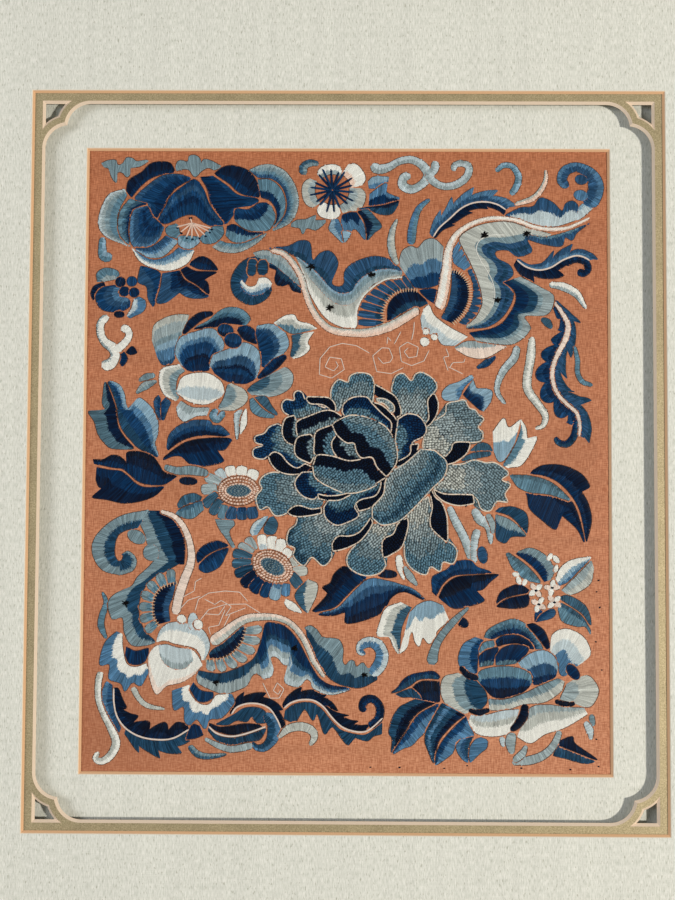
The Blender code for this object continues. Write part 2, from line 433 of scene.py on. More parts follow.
# The weave is drawn a little coarser than its real thread spacing, so that it shows as a grain.
woven_silk, tree, shader = new_material("woven_coral_silk", 0.6, sheen=0.2)
THREAD_SPACING = 0.00042
STAIN_SIZE = 0.035
place = add_node(tree, "TexCoord").outputs["Object"]
warp = stretched_noise(tree, place, (THREAD_SPACING, THREAD_SPACING / 0.1, 1.0), detail=2.0)
weft = stretched_noise(tree, place, (THREAD_SPACING / 0.14, THREAD_SPACING, 1.0), detail=2.0)
crease_bands = stretched_noise(tree, place, (1 / 6, 0.006, 1.0), detail=2.0)
stains = add_node(tree, "TexNoise", {"Vector": place, "Scale": 1 / STAIN_SIZE, "Detail": 5.0,
                                     "Roughness": 0.6})
crossing = add_node(tree, "Math", {0: warp, 1: weft}, operation="MULTIPLY")
grain = add_node(tree, "MapRange", {"Value": crossing, "From Min": 0.16, "From Max": 0.35})
up_the_panel = add_node(tree, "SeparateXYZ", {0: place}).outputs["Y"]
# the silk's colours are lighter towards the bottom of the panel
down_the_panel = add_node(tree, "MapRange", {"Value": up_the_panel, "From Min": 0.16, "From Max": -0.16})
shadow = add_node(tree, "Mix", {"Factor": down_the_panel, 6: linear("#99552F"), 7: linear("#AA6642")},
                  data_type="RGBA")
light = add_node(tree, "Mix", {"Factor": down_the_panel, 6: linear("#C07952"), 7: linear("#D5946F")},
                 data_type="RGBA")
coral = add_node(tree, "Mix", {"Factor": grain, 6: shadow, 7: light}, data_type="RGBA")
# level bands of the silk painted a little darker and lighter: painted shade and light along the old creases
painted_crease_shade = add_node(tree, "MapRange", {"Value": crease_bands, "From Min": 0.3, "From Max": 0.7,
                                     "To Min": 0.93, "To Max": 1.04})
toned = add_node(tree, "VectorMath", {0: coral, "Scale": painted_crease_shade}, operation="SCALE")
stained = add_node(tree, "MapRange", {"Value": stains, "From Min": 0.55, "From Max": 0.8, "To Max": 0.35})
browned = add_node(tree, "Mix", {"Factor": stained, 6: toned, 7: linear("#9A6238")}, data_type="RGBA")
# a water stain near the right edge, with a thin darker rim
WATER_STAIN = (0.1095, 0.0035, silk_high.z)
STAIN_RADIUS = 0.0175
from_stain = add_node(tree, "VectorMath", {0: place, 1: WATER_STAIN}, operation="DISTANCE")
ragged = add_node(tree, "Math", {0: stains, 1: 0.012, 2: from_stain}, operation="MULTIPLY_ADD")
rim = add_node(tree, "Math", {0: ragged, 1: STAIN_RADIUS, 2: 0.0006}, operation="COMPARE")
within = add_node(tree, "MapRange", {"Value": ragged, "From Min": STAIN_RADIUS + 0.001,
                                     "From Max": STAIN_RADIUS - 0.001, "To Max": 0.16})
tide = add_node(tree, "Math", {0: rim, 1: 0.2, 2: within}, operation="MULTIPLY_ADD")
marked = add_node(tree, "Mix", {"Factor": tide, 6: browned, 7: linear("#8A4F2C")}, data_type="RGBA")
# the silk is darker towards its lower left corner
SILK_CORNER = (-SILK_WINDOW[0] / 2, -SILK_WINDOW[1] / 2, silk_high.z)
from_corner = add_node(tree, "VectorMath", {0: place, 1: SILK_CORNER}, operation="DISTANCE")
uneven = add_node(tree, "Math", {0: stains, 1: 0.06, 2: from_corner}, operation="MULTIPLY_ADD")
corner_share = add_node(tree, "MapRange", {"Value": uneven, "From Min": 0.145, "From Max": 0.055, "To Max": 0.42})
darker_to_corner = add_node(tree, "Mix", {"Factor": corner_share, 6: marked, 7: linear("#8A4C2C")}, data_type="RGBA")
relief = add_node(tree, "Bump", {"Height": crossing, "Strength": 0.5, "Distance": 0.0002})
set_inputs(shader, {"Base Color": darker_to_corner, "Normal": relief})
silk_data.materials.append(woven_silk)


# Middle flower: a peony worked in looped knots of twisted silk, packed in rows, each petal outlined
# with a pair of couched cream threads. Near-black petals lie between the blue-grey ones.
CELL = 0.2  # mm, the chart's grid
CHART = (257, 305)  # mm, the mat's window
WINDOW_LEFT, WINDOW_TOP = -SILK_WINDOW[0] / 2, SILK_WINDOW[1] / 2
SILK_TOP = silk_high.z - CREASE_DEPTH
dice = np.random.default_rng(5)  # seeded, so that each run is the same
sewn_before = np.zeros((round(CHART[1] / CELL), round(CHART[0] / CELL)), bool)
# the dyed colours of the floss
FLOSS = {
    "black": "#061426", "ink": "#051931", "navy": "#062748", "indigo": "#12375C", "blue": "#284A6B",
    "azure": "#486F90", "deep": "#1C3D57", "mid": "#34556B", "dusk": "#486473", "steel": "#577A8D",
    "slate": "#718892", "mist": "#90A0A5", "stone": "#AEB4B0", "sky": "#809FB3", "pale": "#B2C2C9",
    "white": "#DCDFDB", "blush": "#DBC2B3", "cream": "#D6BDA1", "ecru": "#DDD0C0", "shell": "#DACCC2",
    "tan": "#8E6149", "umber": "#4A352C", "soot": "#0C0804",
}
floss_colours = {name: np.array(linear(colour)[:3]) for name, colour in FLOSS.items()}


def charted(points):
    """Points as an array. Text such as "104,136 118,170" gives each point as millimetres across,down."""
    if isinstance(points, str):
        points = [pair.split(",") for pair in points.split()]
    return np.array(points, float)


def curve(points, count=90, even=True):
    """A smooth curve through the points, cut evenly by its length or, if not even, by its points."""
    knots = charted(points)
    if len(knots) > 2:
        painted_shade_rows = np.vstack([2 * knots[0] - knots[1], knots, 2 * knots[-1] - knots[-2]])
        steps_between = 16
        t = np.linspace(0, 1, steps_between, endpoint=False)[:, None]
        runs = []
        for a, b, c, d in zip(painted_shade_rows, painted_shade_rows[1:], painted_shade_rows[2:], painted_shade_rows[3:]):
            runs.append(0.5 * (2 * b + (c - a) * t + (2 * a - 5 * b + 4 * c - d) * t**2
                               + (3 * b - a - 3 * c + d) * t**3))
        knots = np.vstack([*runs, knots[-1]])
    if even:
        return spaced(knots, count)
    return along(knots, np.linspace(0, 1, count))


def spaced(line, count):
    """The line's points moved to be equally far apart."""
    walked = np.concatenate([[0], np.cumsum(np.linalg.norm(np.diff(line, axis=0), axis=1))])
    at = np.linspace(0, walked[-1], count)
    return np.stack([np.interp(at, walked, line[:, i]) for i in (0, 1)], 1)


def along(line, share):
    """Points at the given shares of a curve."""
    at = np.clip(share, 0, 1) * (len(line) - 1)
    return np.stack([np.interp(at, np.arange(len(line)), line[:, i]) for i in (0, 1)], -1)


def even_shares(inner, outer, places):
    """Shares of two facing curves that are even on whichever of them is longer there."""
    steps = [np.linalg.norm(np.diff(line, axis=0), axis=1) for line in (inner, outer)]
    walked = np.concatenate([[0], np.cumsum(np.maximum(*steps) + 1e-6)])
    return np.interp(places * walked[-1], walked, np.linspace(0, 1, len(walked)))


def length_of(line):
    return float(np.linalg.norm(np.diff(line, axis=0), axis=1).sum())


def runs_of(mask):
    """The first index of each run of true values, with the index just past its end."""
    turns = np.flatnonzero(np.diff(np.concatenate([[0], mask.astype(int), [0]])))
    return zip(turns[0::2], turns[1::2])


def turned(points, angle):
    """Points turned clockwise about the origin."""
    return points @ np.array([[cos(angle), sin(angle)], [-sin(angle), cos(angle)]])


def grown(mask, reach):
    """A mask widened by reach, in mm."""
    cells = reach / CELL
    whole = int(cells)
    wide = mask.copy()
    for down in range(-whole, whole + 1):
        for right in range(-whole, whole + 1):
            if down * down + right * right <= cells * cells + 0.5:
                wide |= np.roll(mask, (down, right), (0, 1))
    return wide


def shades(text):
    """Bands of colour from a shape's inner curve outwards, such as "navy .4 steel .8 mist": navy up to
    0.4 of the way, then steel up to 0.8, then mist."""
    words = text.split()
    colours = words[0::2]
    ends = [float(word) for word in words[1::2]]
    return colours, [0.0, *ends, 1.0]


def sweep(lines, profile, width, height):
    """Threads laid along lines, an array of (thread, ring, 2) in mm. The profile is across and up."""
    step = np.gradient(lines, axis=1)
    side = np.stack([-step[..., 1], step[..., 0]], -1)
    side /= np.maximum(np.linalg.norm(step, axis=2, keepdims=True), 1e-6)
    across = np.array([point[0] for point in profile])
    up = np.array([point[1] for point in profile])
    threads, rings = lines.shape[:2]
    width = np.broadcast_to(width, (threads, rings))
    height = np.broadcast_to(height, (threads, rings))
    flat = lines[:, :, None] + side[:, :, None] * (across * width[..., None])[..., None]
    level = up * height[..., None]
    places = np.concatenate([flat, level[..., None]], -1).reshape(-1, 3)
    thread, ring, corner = np.meshgrid(np.arange(threads), np.arange(rings - 1), np.arange(len(profile) - 1),
                                       indexing="ij")
    first = ((thread * rings + ring) * len(profile) + corner).ravel()
    faces = np.stack([first, first + 1, first + 1 + len(profile), first + len(profile)], 1)
    return places, faces


def new_floss(name, roughness, sparkle):
    """Silk floss, whose colour each thread carries. Untwisted floss is glossier than twisted."""
    material, tree, shader = new_material(name, roughness, ior=1.54)
    dyed = add_node(tree, "Attribute", attribute_name="dye")
    place = add_node(tree, "TexCoord").outputs["Object"]
    fibre_width = 0.0004  # real fibres are far finer, too fine to show
    fibres = add_node(tree, "TexNoise", {"Vector": place, "Scale": 1 / fibre_width, "Detail": 2.0})
    tone = add_node(tree, "MapRange", {"Value": fibres, "From Min": 0.25, "From Max": 0.75,
                                       "To Min": 1 - sparkle, "To Max": 1 + sparkle})
    toned = add_node(tree, "VectorMath", {0: dyed, "Scale": tone}, operation="SCALE")
    worn_gloss = 0.05  # the floss has dulled with age
    set_inputs(shader, {"Base Color": toned, "Specular IOR Level": worn_gloss})
    return material


flat_floss = new_floss("untwisted_silk_floss", 0.42, 0.2)
twisted_floss = new_floss("twisted_silk_thread", 0.5, 0.12)
# cross-sections of threads, each corner as shares of the thread's width across and height up
FLAT_THREAD = ((-0.5, 0.0), (-0.28, 0.8), (0.28, 0.8), (0.5, 0.0))
RIDGED_THREAD = ((-0.5, 0.0), (0.0, 1.0), (0.5, 0.0))
FLAT_STRIP = ((-0.5, 1.0), (0.5, 1.0))
TWIN_CORD = ((-0.5, 0.0), (-0.28, 1.0), (0.0, 0.45), (0.28, 1.0), (0.5, 0.0))


class Motif:
    """One group of embroidery. Its shapes are charted first, each over those before it, and then sewn.

    Only the cells of the chart that no earlier group has sewn are sewn, so no two groups overlap.
    """

    def __init__(self, name):
        self.name = name
        self.shapes = []
        self.owner = np.zeros(sewn_before.shape, np.int16)
        self.share = np.zeros(sewn_before.shape, np.float32)
        self.parts = []
        self.corded = np.full((1, 2), -9.0)  # where a cord lies already, from a point off the chart on

    def fill(self, inner, outer, bands, lean=0.0, void=0.6, stitch="satin", wave=0.0, even=True, blend=0.5,
             corded=True):
        """A shape filled between two curves with stitches that run from the inner to the outer one."""
        inner = inner if isinstance(inner, np.ndarray) else curve(inner, even=even)
        outer = outer if isinstance(outer, np.ndarray) else curve(outer, even=even)
        across = outer - inner
        reach = np.linalg.norm(across, axis=1, keepdims=True)
        across /= np.maximum(reach, 1e-6)
        overlap = np.minimum(0.3, 0.3 * reach)  # stitches go down a little outside the drawn line
        inner, outer = inner - across * overlap, outer + across * overlap
        self.shapes.append({"inner": inner, "outer": outer, "bands": shades(bands), "lean": lean,
                            "stitch": stitch, "wave": wave, "blend": blend, "corded": corded})
        self.claim(inner, outer, len(self.shapes), void)

    def claim(self, inner, outer, number, void):
        """Marks the shape's cells on the chart, and clears a narrow void round them."""
        reach = np.linalg.norm(outer - inner, axis=1).max()
        to_a_cell = 1.6  # points to a cell's width, so that no cell is missed
        steps = int((length_of(inner) + length_of(outer)) / CELL * to_a_cell) + 2
        s = even_shares(inner, outer, np.linspace(0, 1, steps))
        t = np.linspace(0, 1, int(reach / CELL * to_a_cell) + 2)
        a, b = along(inner, s), along(outer, s)
        points = a[:, None] * (1 - t[:, None]) + b[:, None] * t[:, None]
        column = (points[..., 0] / CELL).astype(int)
        row = (points[..., 1] / CELL).astype(int)
        inside = (column >= 0) & (row >= 0) & (column < self.owner.shape[1]) & (row < self.owner.shape[0])
        column, row = column[inside], row[inside]
        margin = int(void / CELL) + 2
        top, left = max(row.min() - margin, 0), max(column.min() - margin, 0)
        bottom, right = row.max() + margin + 1, column.max() + margin + 1
        window = (slice(top, bottom), slice(left, right))
        mask = np.zeros(self.owner[window].shape, bool)
        mask[row - top, column - left] = True
        self.owner[window][grown(mask, void)] = 0
        self.owner[window][mask] = number
        shares = np.broadcast_to(t, points.shape[:2])[inside]
        self.share[row, column] = shares

    def at(self, points, number):
        """Whether each point lies on the numbered shape's own cells."""
        column = np.clip((points[..., 0] / CELL).astype(int), 0, self.owner.shape[1] - 1)
        row = np.clip((points[..., 1] / CELL).astype(int), 0, self.owner.shape[0] - 1)
        return self.owner[row, column] == number

    def satin(self, number, shape, pitch=0.42, width=0.68, height=0.36, dark=1.0):
        """Cuts every stitch line of a shape to what shows of it, and to its bands of colour."""
        inner, outer, lean = shape["inner"], shape["outer"], shape["lean"]
        count = max(int(max(length_of(inner), length_of(outer)) / pitch) + 1, 3)
        places = np.linspace(-abs(lean) / 2, 1 + abs(lean) / 2, count) + dice.normal(0, 0.1 / count, count)
        s = even_shares(inner, outer, np.clip(places, 0, 1))
        starts, ends = along(inner, s - lean / 2), along(outer, s + lean / 2)
        steps_in = np.linalg.norm(along(inner, s + 0.02) - along(inner, s - 0.02), axis=1)[:, None]
        steps_out = np.linalg.norm(along(outer, s + 0.02) - along(outer, s - 0.02), axis=1)[:, None]
        widest = np.maximum(np.maximum(steps_in, steps_out), 1e-6)
        order = np.arange(count)
        # where the lines crowd, only every second or fourth of them goes all the way
        rank = np.where(order % 2, 0, np.where(order % 4, 1, 2))
        needed = np.array([0.62, 0.31, 0.0])[rank]
        t = np.linspace(0, 1, 41)
        points = starts[:, None] * (1 - t[:, None]) + ends[:, None] * t[:, None]
        shown = self.at(points, number)
        room = (steps_in * (1 - t) + steps_out * t) / widest
        shown &= room >= needed[:, None] - 0.02
        colours, edges = shape["bands"]
        # neighbouring threads lighter and darker in streaks: uneven dye, with painted sheen and shade
        # between threads
        sheen_streaks = np.convolve(dice.normal(0, 1, count + 8), np.ones(4) / 4, "same")[4:-4]
        found = {"a": [], "b": [], "dye": []}
        shortest, longest = 0.35, 9.0  # mm of one stitch
        for i in range(count):
            span = np.linalg.norm(ends[i] - starts[i])
            blend = shape["blend"] * (dice.uniform(-1, 1, len(edges)) + (0.5 if i % 2 else -0.5))
            ragged = blend / max(span, 5.0) + shape["wave"] * sin(places[i] * 19)
            low_end, high_end = dice.normal(0, 0.14, 2) / max(span, 2.0)
            overlap = 0.25 / max(span, 0.5)
            for first, last in runs_of(shown[i]):
                low, high = t[first] + low_end, t[last - 1] + high_end
                for k, name in enumerate(colours):
                    begin = max(low, edges[k] + ragged[k] if k else low)
                    end = min(high, edges[k + 1] + ragged[k + 1] if k + 1 < len(colours) else high)
                    if (end - begin) * span < shortest:
                        continue
                    pieces = max(1, round((end - begin) * span / longest))
                    cuts = np.linspace(begin, end, pieces + 1)
                    cuts[1:-1] += dice.normal(0, 0.12 * (end - begin) / pieces, pieces - 1)
                    # how far each thread's colour strays from its floss: uneven dye, with painted sheen and
                    # shade of single threads
                    uneven = 0.32 - 0.31 * sqrt(floss_colours[name].mean())  # a pale floss shows it less
                    tone = exp(sheen_streaks[i] * uneven + dice.normal(0, uneven)) * dark
                    for one, two in zip(cuts, cuts[1:]):
                        one -= (one > low) * overlap
                        two += (two < high) * overlap
                        found["a"].append(starts[i] + (ends[i] - starts[i]) * one)
                        found["b"].append(starts[i] + (ends[i] - starts[i]) * two)
                        found["dye"].append(floss_colours[name] * tone)
        if not found["a"]:
            return
        a, b = np.array(found["a"]), np.array(found["b"])
        share = np.array([0.0, 0.12, 0.5, 0.88, 1.0])
        lines = a[:, None] * (1 - share[:, None]) + b[:, None] * share[:, None]
        rise = np.array([0.2, 0.8, 1.0, 0.8, 0.2])
        lift = height * dice.uniform(0.85, 1.15, len(a))[:, None] * rise
        places, faces = sweep(lines, RIDGED_THREAD, width * np.array([0.8, 1.0, 1.0, 1.0, 0.8]), lift)
        dye = np.array(found["dye"])[:, None]
        # each thread is also painted lighter and darker along its length: painted glints, with uneven dye
        uneven = 0.27 - 0.27 * np.sqrt(dye.mean(2))
        dye = dye * np.exp(dice.normal(0, 1, uneven.shape[:1] + rise.shape) * uneven)[..., None]
        self.parts.append((places, faces, np.repeat(dye.reshape(-1, 3), len(RIDGED_THREAD), 0), 0))

    def painted_shade_rows(self):
        """Flat dark threads in level rows under all the knots, so that no silk shows between them and the
        gaps show as painted shade.
        """
        knots = [number for number, shape in enumerate(self.shapes, 1) if shape["stitch"] == "knots"]
        covered = np.isin(self.owner, knots)
        cells_between_rows = 4
        for row in range(0, len(covered), cells_between_rows):
            level = (row + 0.5) * CELL
            for first, last in runs_of(covered[row]):
                left, right = first * CELL, last * CELL
                if right - left > 1.5:
                    self.laid([(left + 0.3, level), (right - 0.3, level)], "ink", 0.9, 0.05, FLAT_STRIP,
                              smooth=False, step=2.5)

    def knotted(self, number, shape):
        """Covers a shape with rows of looped knots over a layer of flat stitches dyed darker, as painted
        shade between the knots.
        """
        pitch = 1.42  # mm from knot to knot along a row
        # the flat stitches take 0.3 of their floss colour: painted shade between the knots
        self.satin(number, shape, pitch=0.9, width=1.3, height=0.14, dark=0.3)
        row, column = np.nonzero(self.owner == number)
        if len(row) == 0:
            return
        low = np.array([column.min(), row.min()]) * CELL
        high = np.array([column.max(), row.max()]) * CELL
        centre, radius = (low + high) / 2, np.linalg.norm(high - low) / 2 + pitch
        steps = int(radius / pitch) + 1
        i, j = np.meshgrid(np.arange(-steps, steps + 1), np.arange(-int(steps * 1.2), int(steps * 1.2) + 1))
        grid = np.stack([i + dice.uniform(0, 1, len(j))[:, None], j * 0.82], -1).reshape(-1, 2) * pitch
        chord = shape["outer"][len(shape["outer"]) // 2] - shape["inner"][len(shape["inner"]) // 2]
        turn = atan2(chord[1], chord[0]) + 0.5
        grid = turned(grid, turn) + centre
        grid += dice.normal(0, 0.14, grid.shape)
        inside = (grid >= 0.3).all(1) & (grid[:, 0] < CHART[0]) & (grid[:, 1] < CHART[1])
        grid = grid[inside]
        grid = grid[self.at(grid, number)]
        column, row = (grid / CELL).astype(int).T
        share = self.share[row, column] + dice.normal(0, 0.035, len(grid))
        colours, edges = shape["bands"]
        band = np.clip(np.searchsorted(edges[1:-1], share), 0, len(colours) - 1)
        dye = np.array([floss_colours[name] for name in colours])[band]
        dye = dye * np.exp(dice.normal(0.2, 0.13, len(grid)))[:, None]
        self.loops(grid, dye, 0.7, 0.62, turn)

    def loops(self, centres, dye, radius, height, turn=0.0):
        """Looped knots: small oval domes, each painted darker at its foot and a little lighter on top, as
        painted shade between the knots.
        """
        sides = 6
        count = len(centres)
        angle = np.arange(sides) * 2 * pi / sides
        size = radius * dice.uniform(0.85, 1.15, count)
        turns = turn + dice.normal(0, 0.3, count)
        long_way = np.stack([np.cos(turns), np.sin(turns)], 1)[:, None]
        short_way = np.stack([-np.sin(turns), np.cos(turns)], 1)[:, None]
        ring = 1.2 * long_way * np.cos(angle)[:, None] + 0.8 * short_way * np.sin(angle)[:, None]
        places = np.zeros((count, 2 * sides + 1, 3))
        places[:, :sides, :2] = centres[:, None] + ring * size[:, None, None]
        places[:, sides:-1, :2] = centres[:, None] + ring * (0.55 * size)[:, None, None]
        places[:, sides:-1, 2] = height * 0.8
        places[:, -1, :2] = centres
        places[:, -1, 2] = height
        # painted shade at each knot's foot and a faint painted highlight on its top
        shade = np.array([0.62] * sides + [1.0] * sides + [1.02])
        first = (np.arange(count) * (2 * sides + 1))[:, None]
        i, j = np.arange(sides), (np.arange(sides) + 1) % sides
        walls = np.stack([first + i, first + j, first + sides + j, first + sides + i], -1).reshape(-1, 4)
        caps = np.stack([first + sides + i, first + sides + j, first + 2 * sides + 0 * i], -1).reshape(-1, 3)
        dye = (dye[:, None] * shade[:, None]).reshape(-1, 3)
        self.parts.append((places.reshape(-1, 3), walls, dye, 1))
        self.parts.append((None, caps, None, 1))

    def laid(self, points, colour="cream", width=0.5, height=0.35, profile=FLAT_THREAD, smooth=True,
             step=0.8):
        """One thread laid along a path."""
        path = curve(points, 60) if smooth else charted(points)
        steps = max(int(length_of(path) / step), 2)
        line = spaced(path, steps + 1)[None]
        swell = np.ones(steps + 1)
        swell[[0, -1]] = 0.5
        places, faces = sweep(line, profile, width * swell, height * swell)
        tone = dice.normal(1.0, 0.05, steps + 1)
        dye = floss_colours[colour] * tone[:, None]
        self.parts.append((places, faces, np.repeat(dye, len(profile), 0), 1))

    def edge_of(self, shape):
        """Evenly spaced points all round a shape."""
        closed = np.vstack([shape["inner"], shape["outer"][::-1], shape["inner"][:1]])
        spacing = 0.7
        return spaced(closed, max(int(length_of(closed) / spacing), 8))

    def outline(self, number, shape):
        """A pair of couched threads round what shows of a shape's edge."""
        if not shape["corded"]:
            return
        path = self.edge_of(shape)
        near = np.zeros(len(path), bool)
        for turn in np.arange(8) * pi / 4:
            near |= self.at(path + 0.5 * np.array([cos(turn), sin(turn)]), number)
        near = np.convolve(near, np.ones(5), "same") >= 3
        near &= np.linalg.norm(path[:, None] - self.corded, axis=2).min(1) > 0.8
        self.corded = np.vstack([self.corded, path[near]])
        for first, last in runs_of(near):
            if last - first > 4:
                self.laid(path[max(first - 1, 0) : last + 1], "ecru", 0.68, 0.75, TWIN_CORD, smooth=False)

    def ink_and_shadow_line(self, number, shape):
        """A thin dark line where a shape's edge meets bare silk: partly the ink line of the drawn pattern
        and partly painted shadow beside the raised stitches.
        """
        path = self.edge_of(shape)
        step = np.gradient(path, axis=0)
        side = np.stack([-step[:, 1], step[:, 0]], 1)
        side = side / np.maximum(np.linalg.norm(step, axis=1), 1e-6)[:, None]
        # the umber line is partly ink and partly painted shadow at the stitches' edge
        for way in (side, -side):
            shown = self.at(path - 0.5 * way, number) & self.at(path + 0.3 * way, 0)
            for first, last in runs_of(shown):
                if last - first > 3:
                    self.laid((path + 0.08 * way)[first:last], "umber", 0.3, 0.1, FLAT_STRIP, smooth=False)

    def sew(self):
        """Makes the mesh of everything charted so far as one piece."""
        global sewn_before
        self.owner[sewn_before] = 0
        self.painted_shade_rows()
        for number, shape in reversed(list(enumerate(self.shapes, 1))):
            if shape["stitch"] == "knots":
                self.knotted(number, shape)
                self.outline(number, shape)
            else:
                self.satin(number, shape)
                self.ink_and_shadow_line(number, shape)
        sewn_before |= grown(self.owner > 0, 0.6)
        places, faces, dyes, kinds = [], [], [], []
        offset = start = 0
        for part_places, part_faces, dye, kind in self.parts:
            if part_places is not None:
                start = offset
                places.append(part_places)
                dyes.append(dye)
                offset += len(part_places)
            faces.extend((part_faces + start)[:, ::-1].tolist())
            kinds.append(np.full(len(part_faces), kind))
        places = np.vstack(places)
        world_places = np.empty_like(places)
        world_places[:, 0] = WINDOW_LEFT + places[:, 0] / 1000
        world_places[:, 1] = WINDOW_TOP - places[:, 1] / 1000
        world_places[:, 2] = SILK_TOP + places[:, 2] / 1000
        data = bpy.data.meshes.new(self.name)
        data.from_pydata(world_places.tolist(), [], faces)
        data.polygons.foreach_set("use_smooth", np.ones(len(faces), bool))
        data.polygons.foreach_set("material_index", np.concatenate(kinds).astype(np.int32))
        dye_layer = data.color_attributes.new("dye", "FLOAT_COLOR", "POINT")
        dyed = np.clip(np.vstack(dyes), 0.003, 0.95)
        dye_layer.data.foreach_set("color", np.hstack([dyed, np.ones((len(dyed), 1))]).ravel())
        corners = np.empty(len(data.loops), np.int32)
        data.loops.foreach_get("vertex_index", corners)
        low = world_places[:, :2].min(axis=0)
        size = (world_places[:, :2].max(axis=0) - low).max()
        planar = (world_places[:, :2] - low) / size
        flat_map = data.uv_layers.new(name="OFBake")
        flat_map.data.foreach_set("uv", planar[corners].ravel())
        data.materials.append(flat_floss)
        data.materials.append(twisted_floss)
        piece = add_object(self.name, data)
        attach(piece, "root")


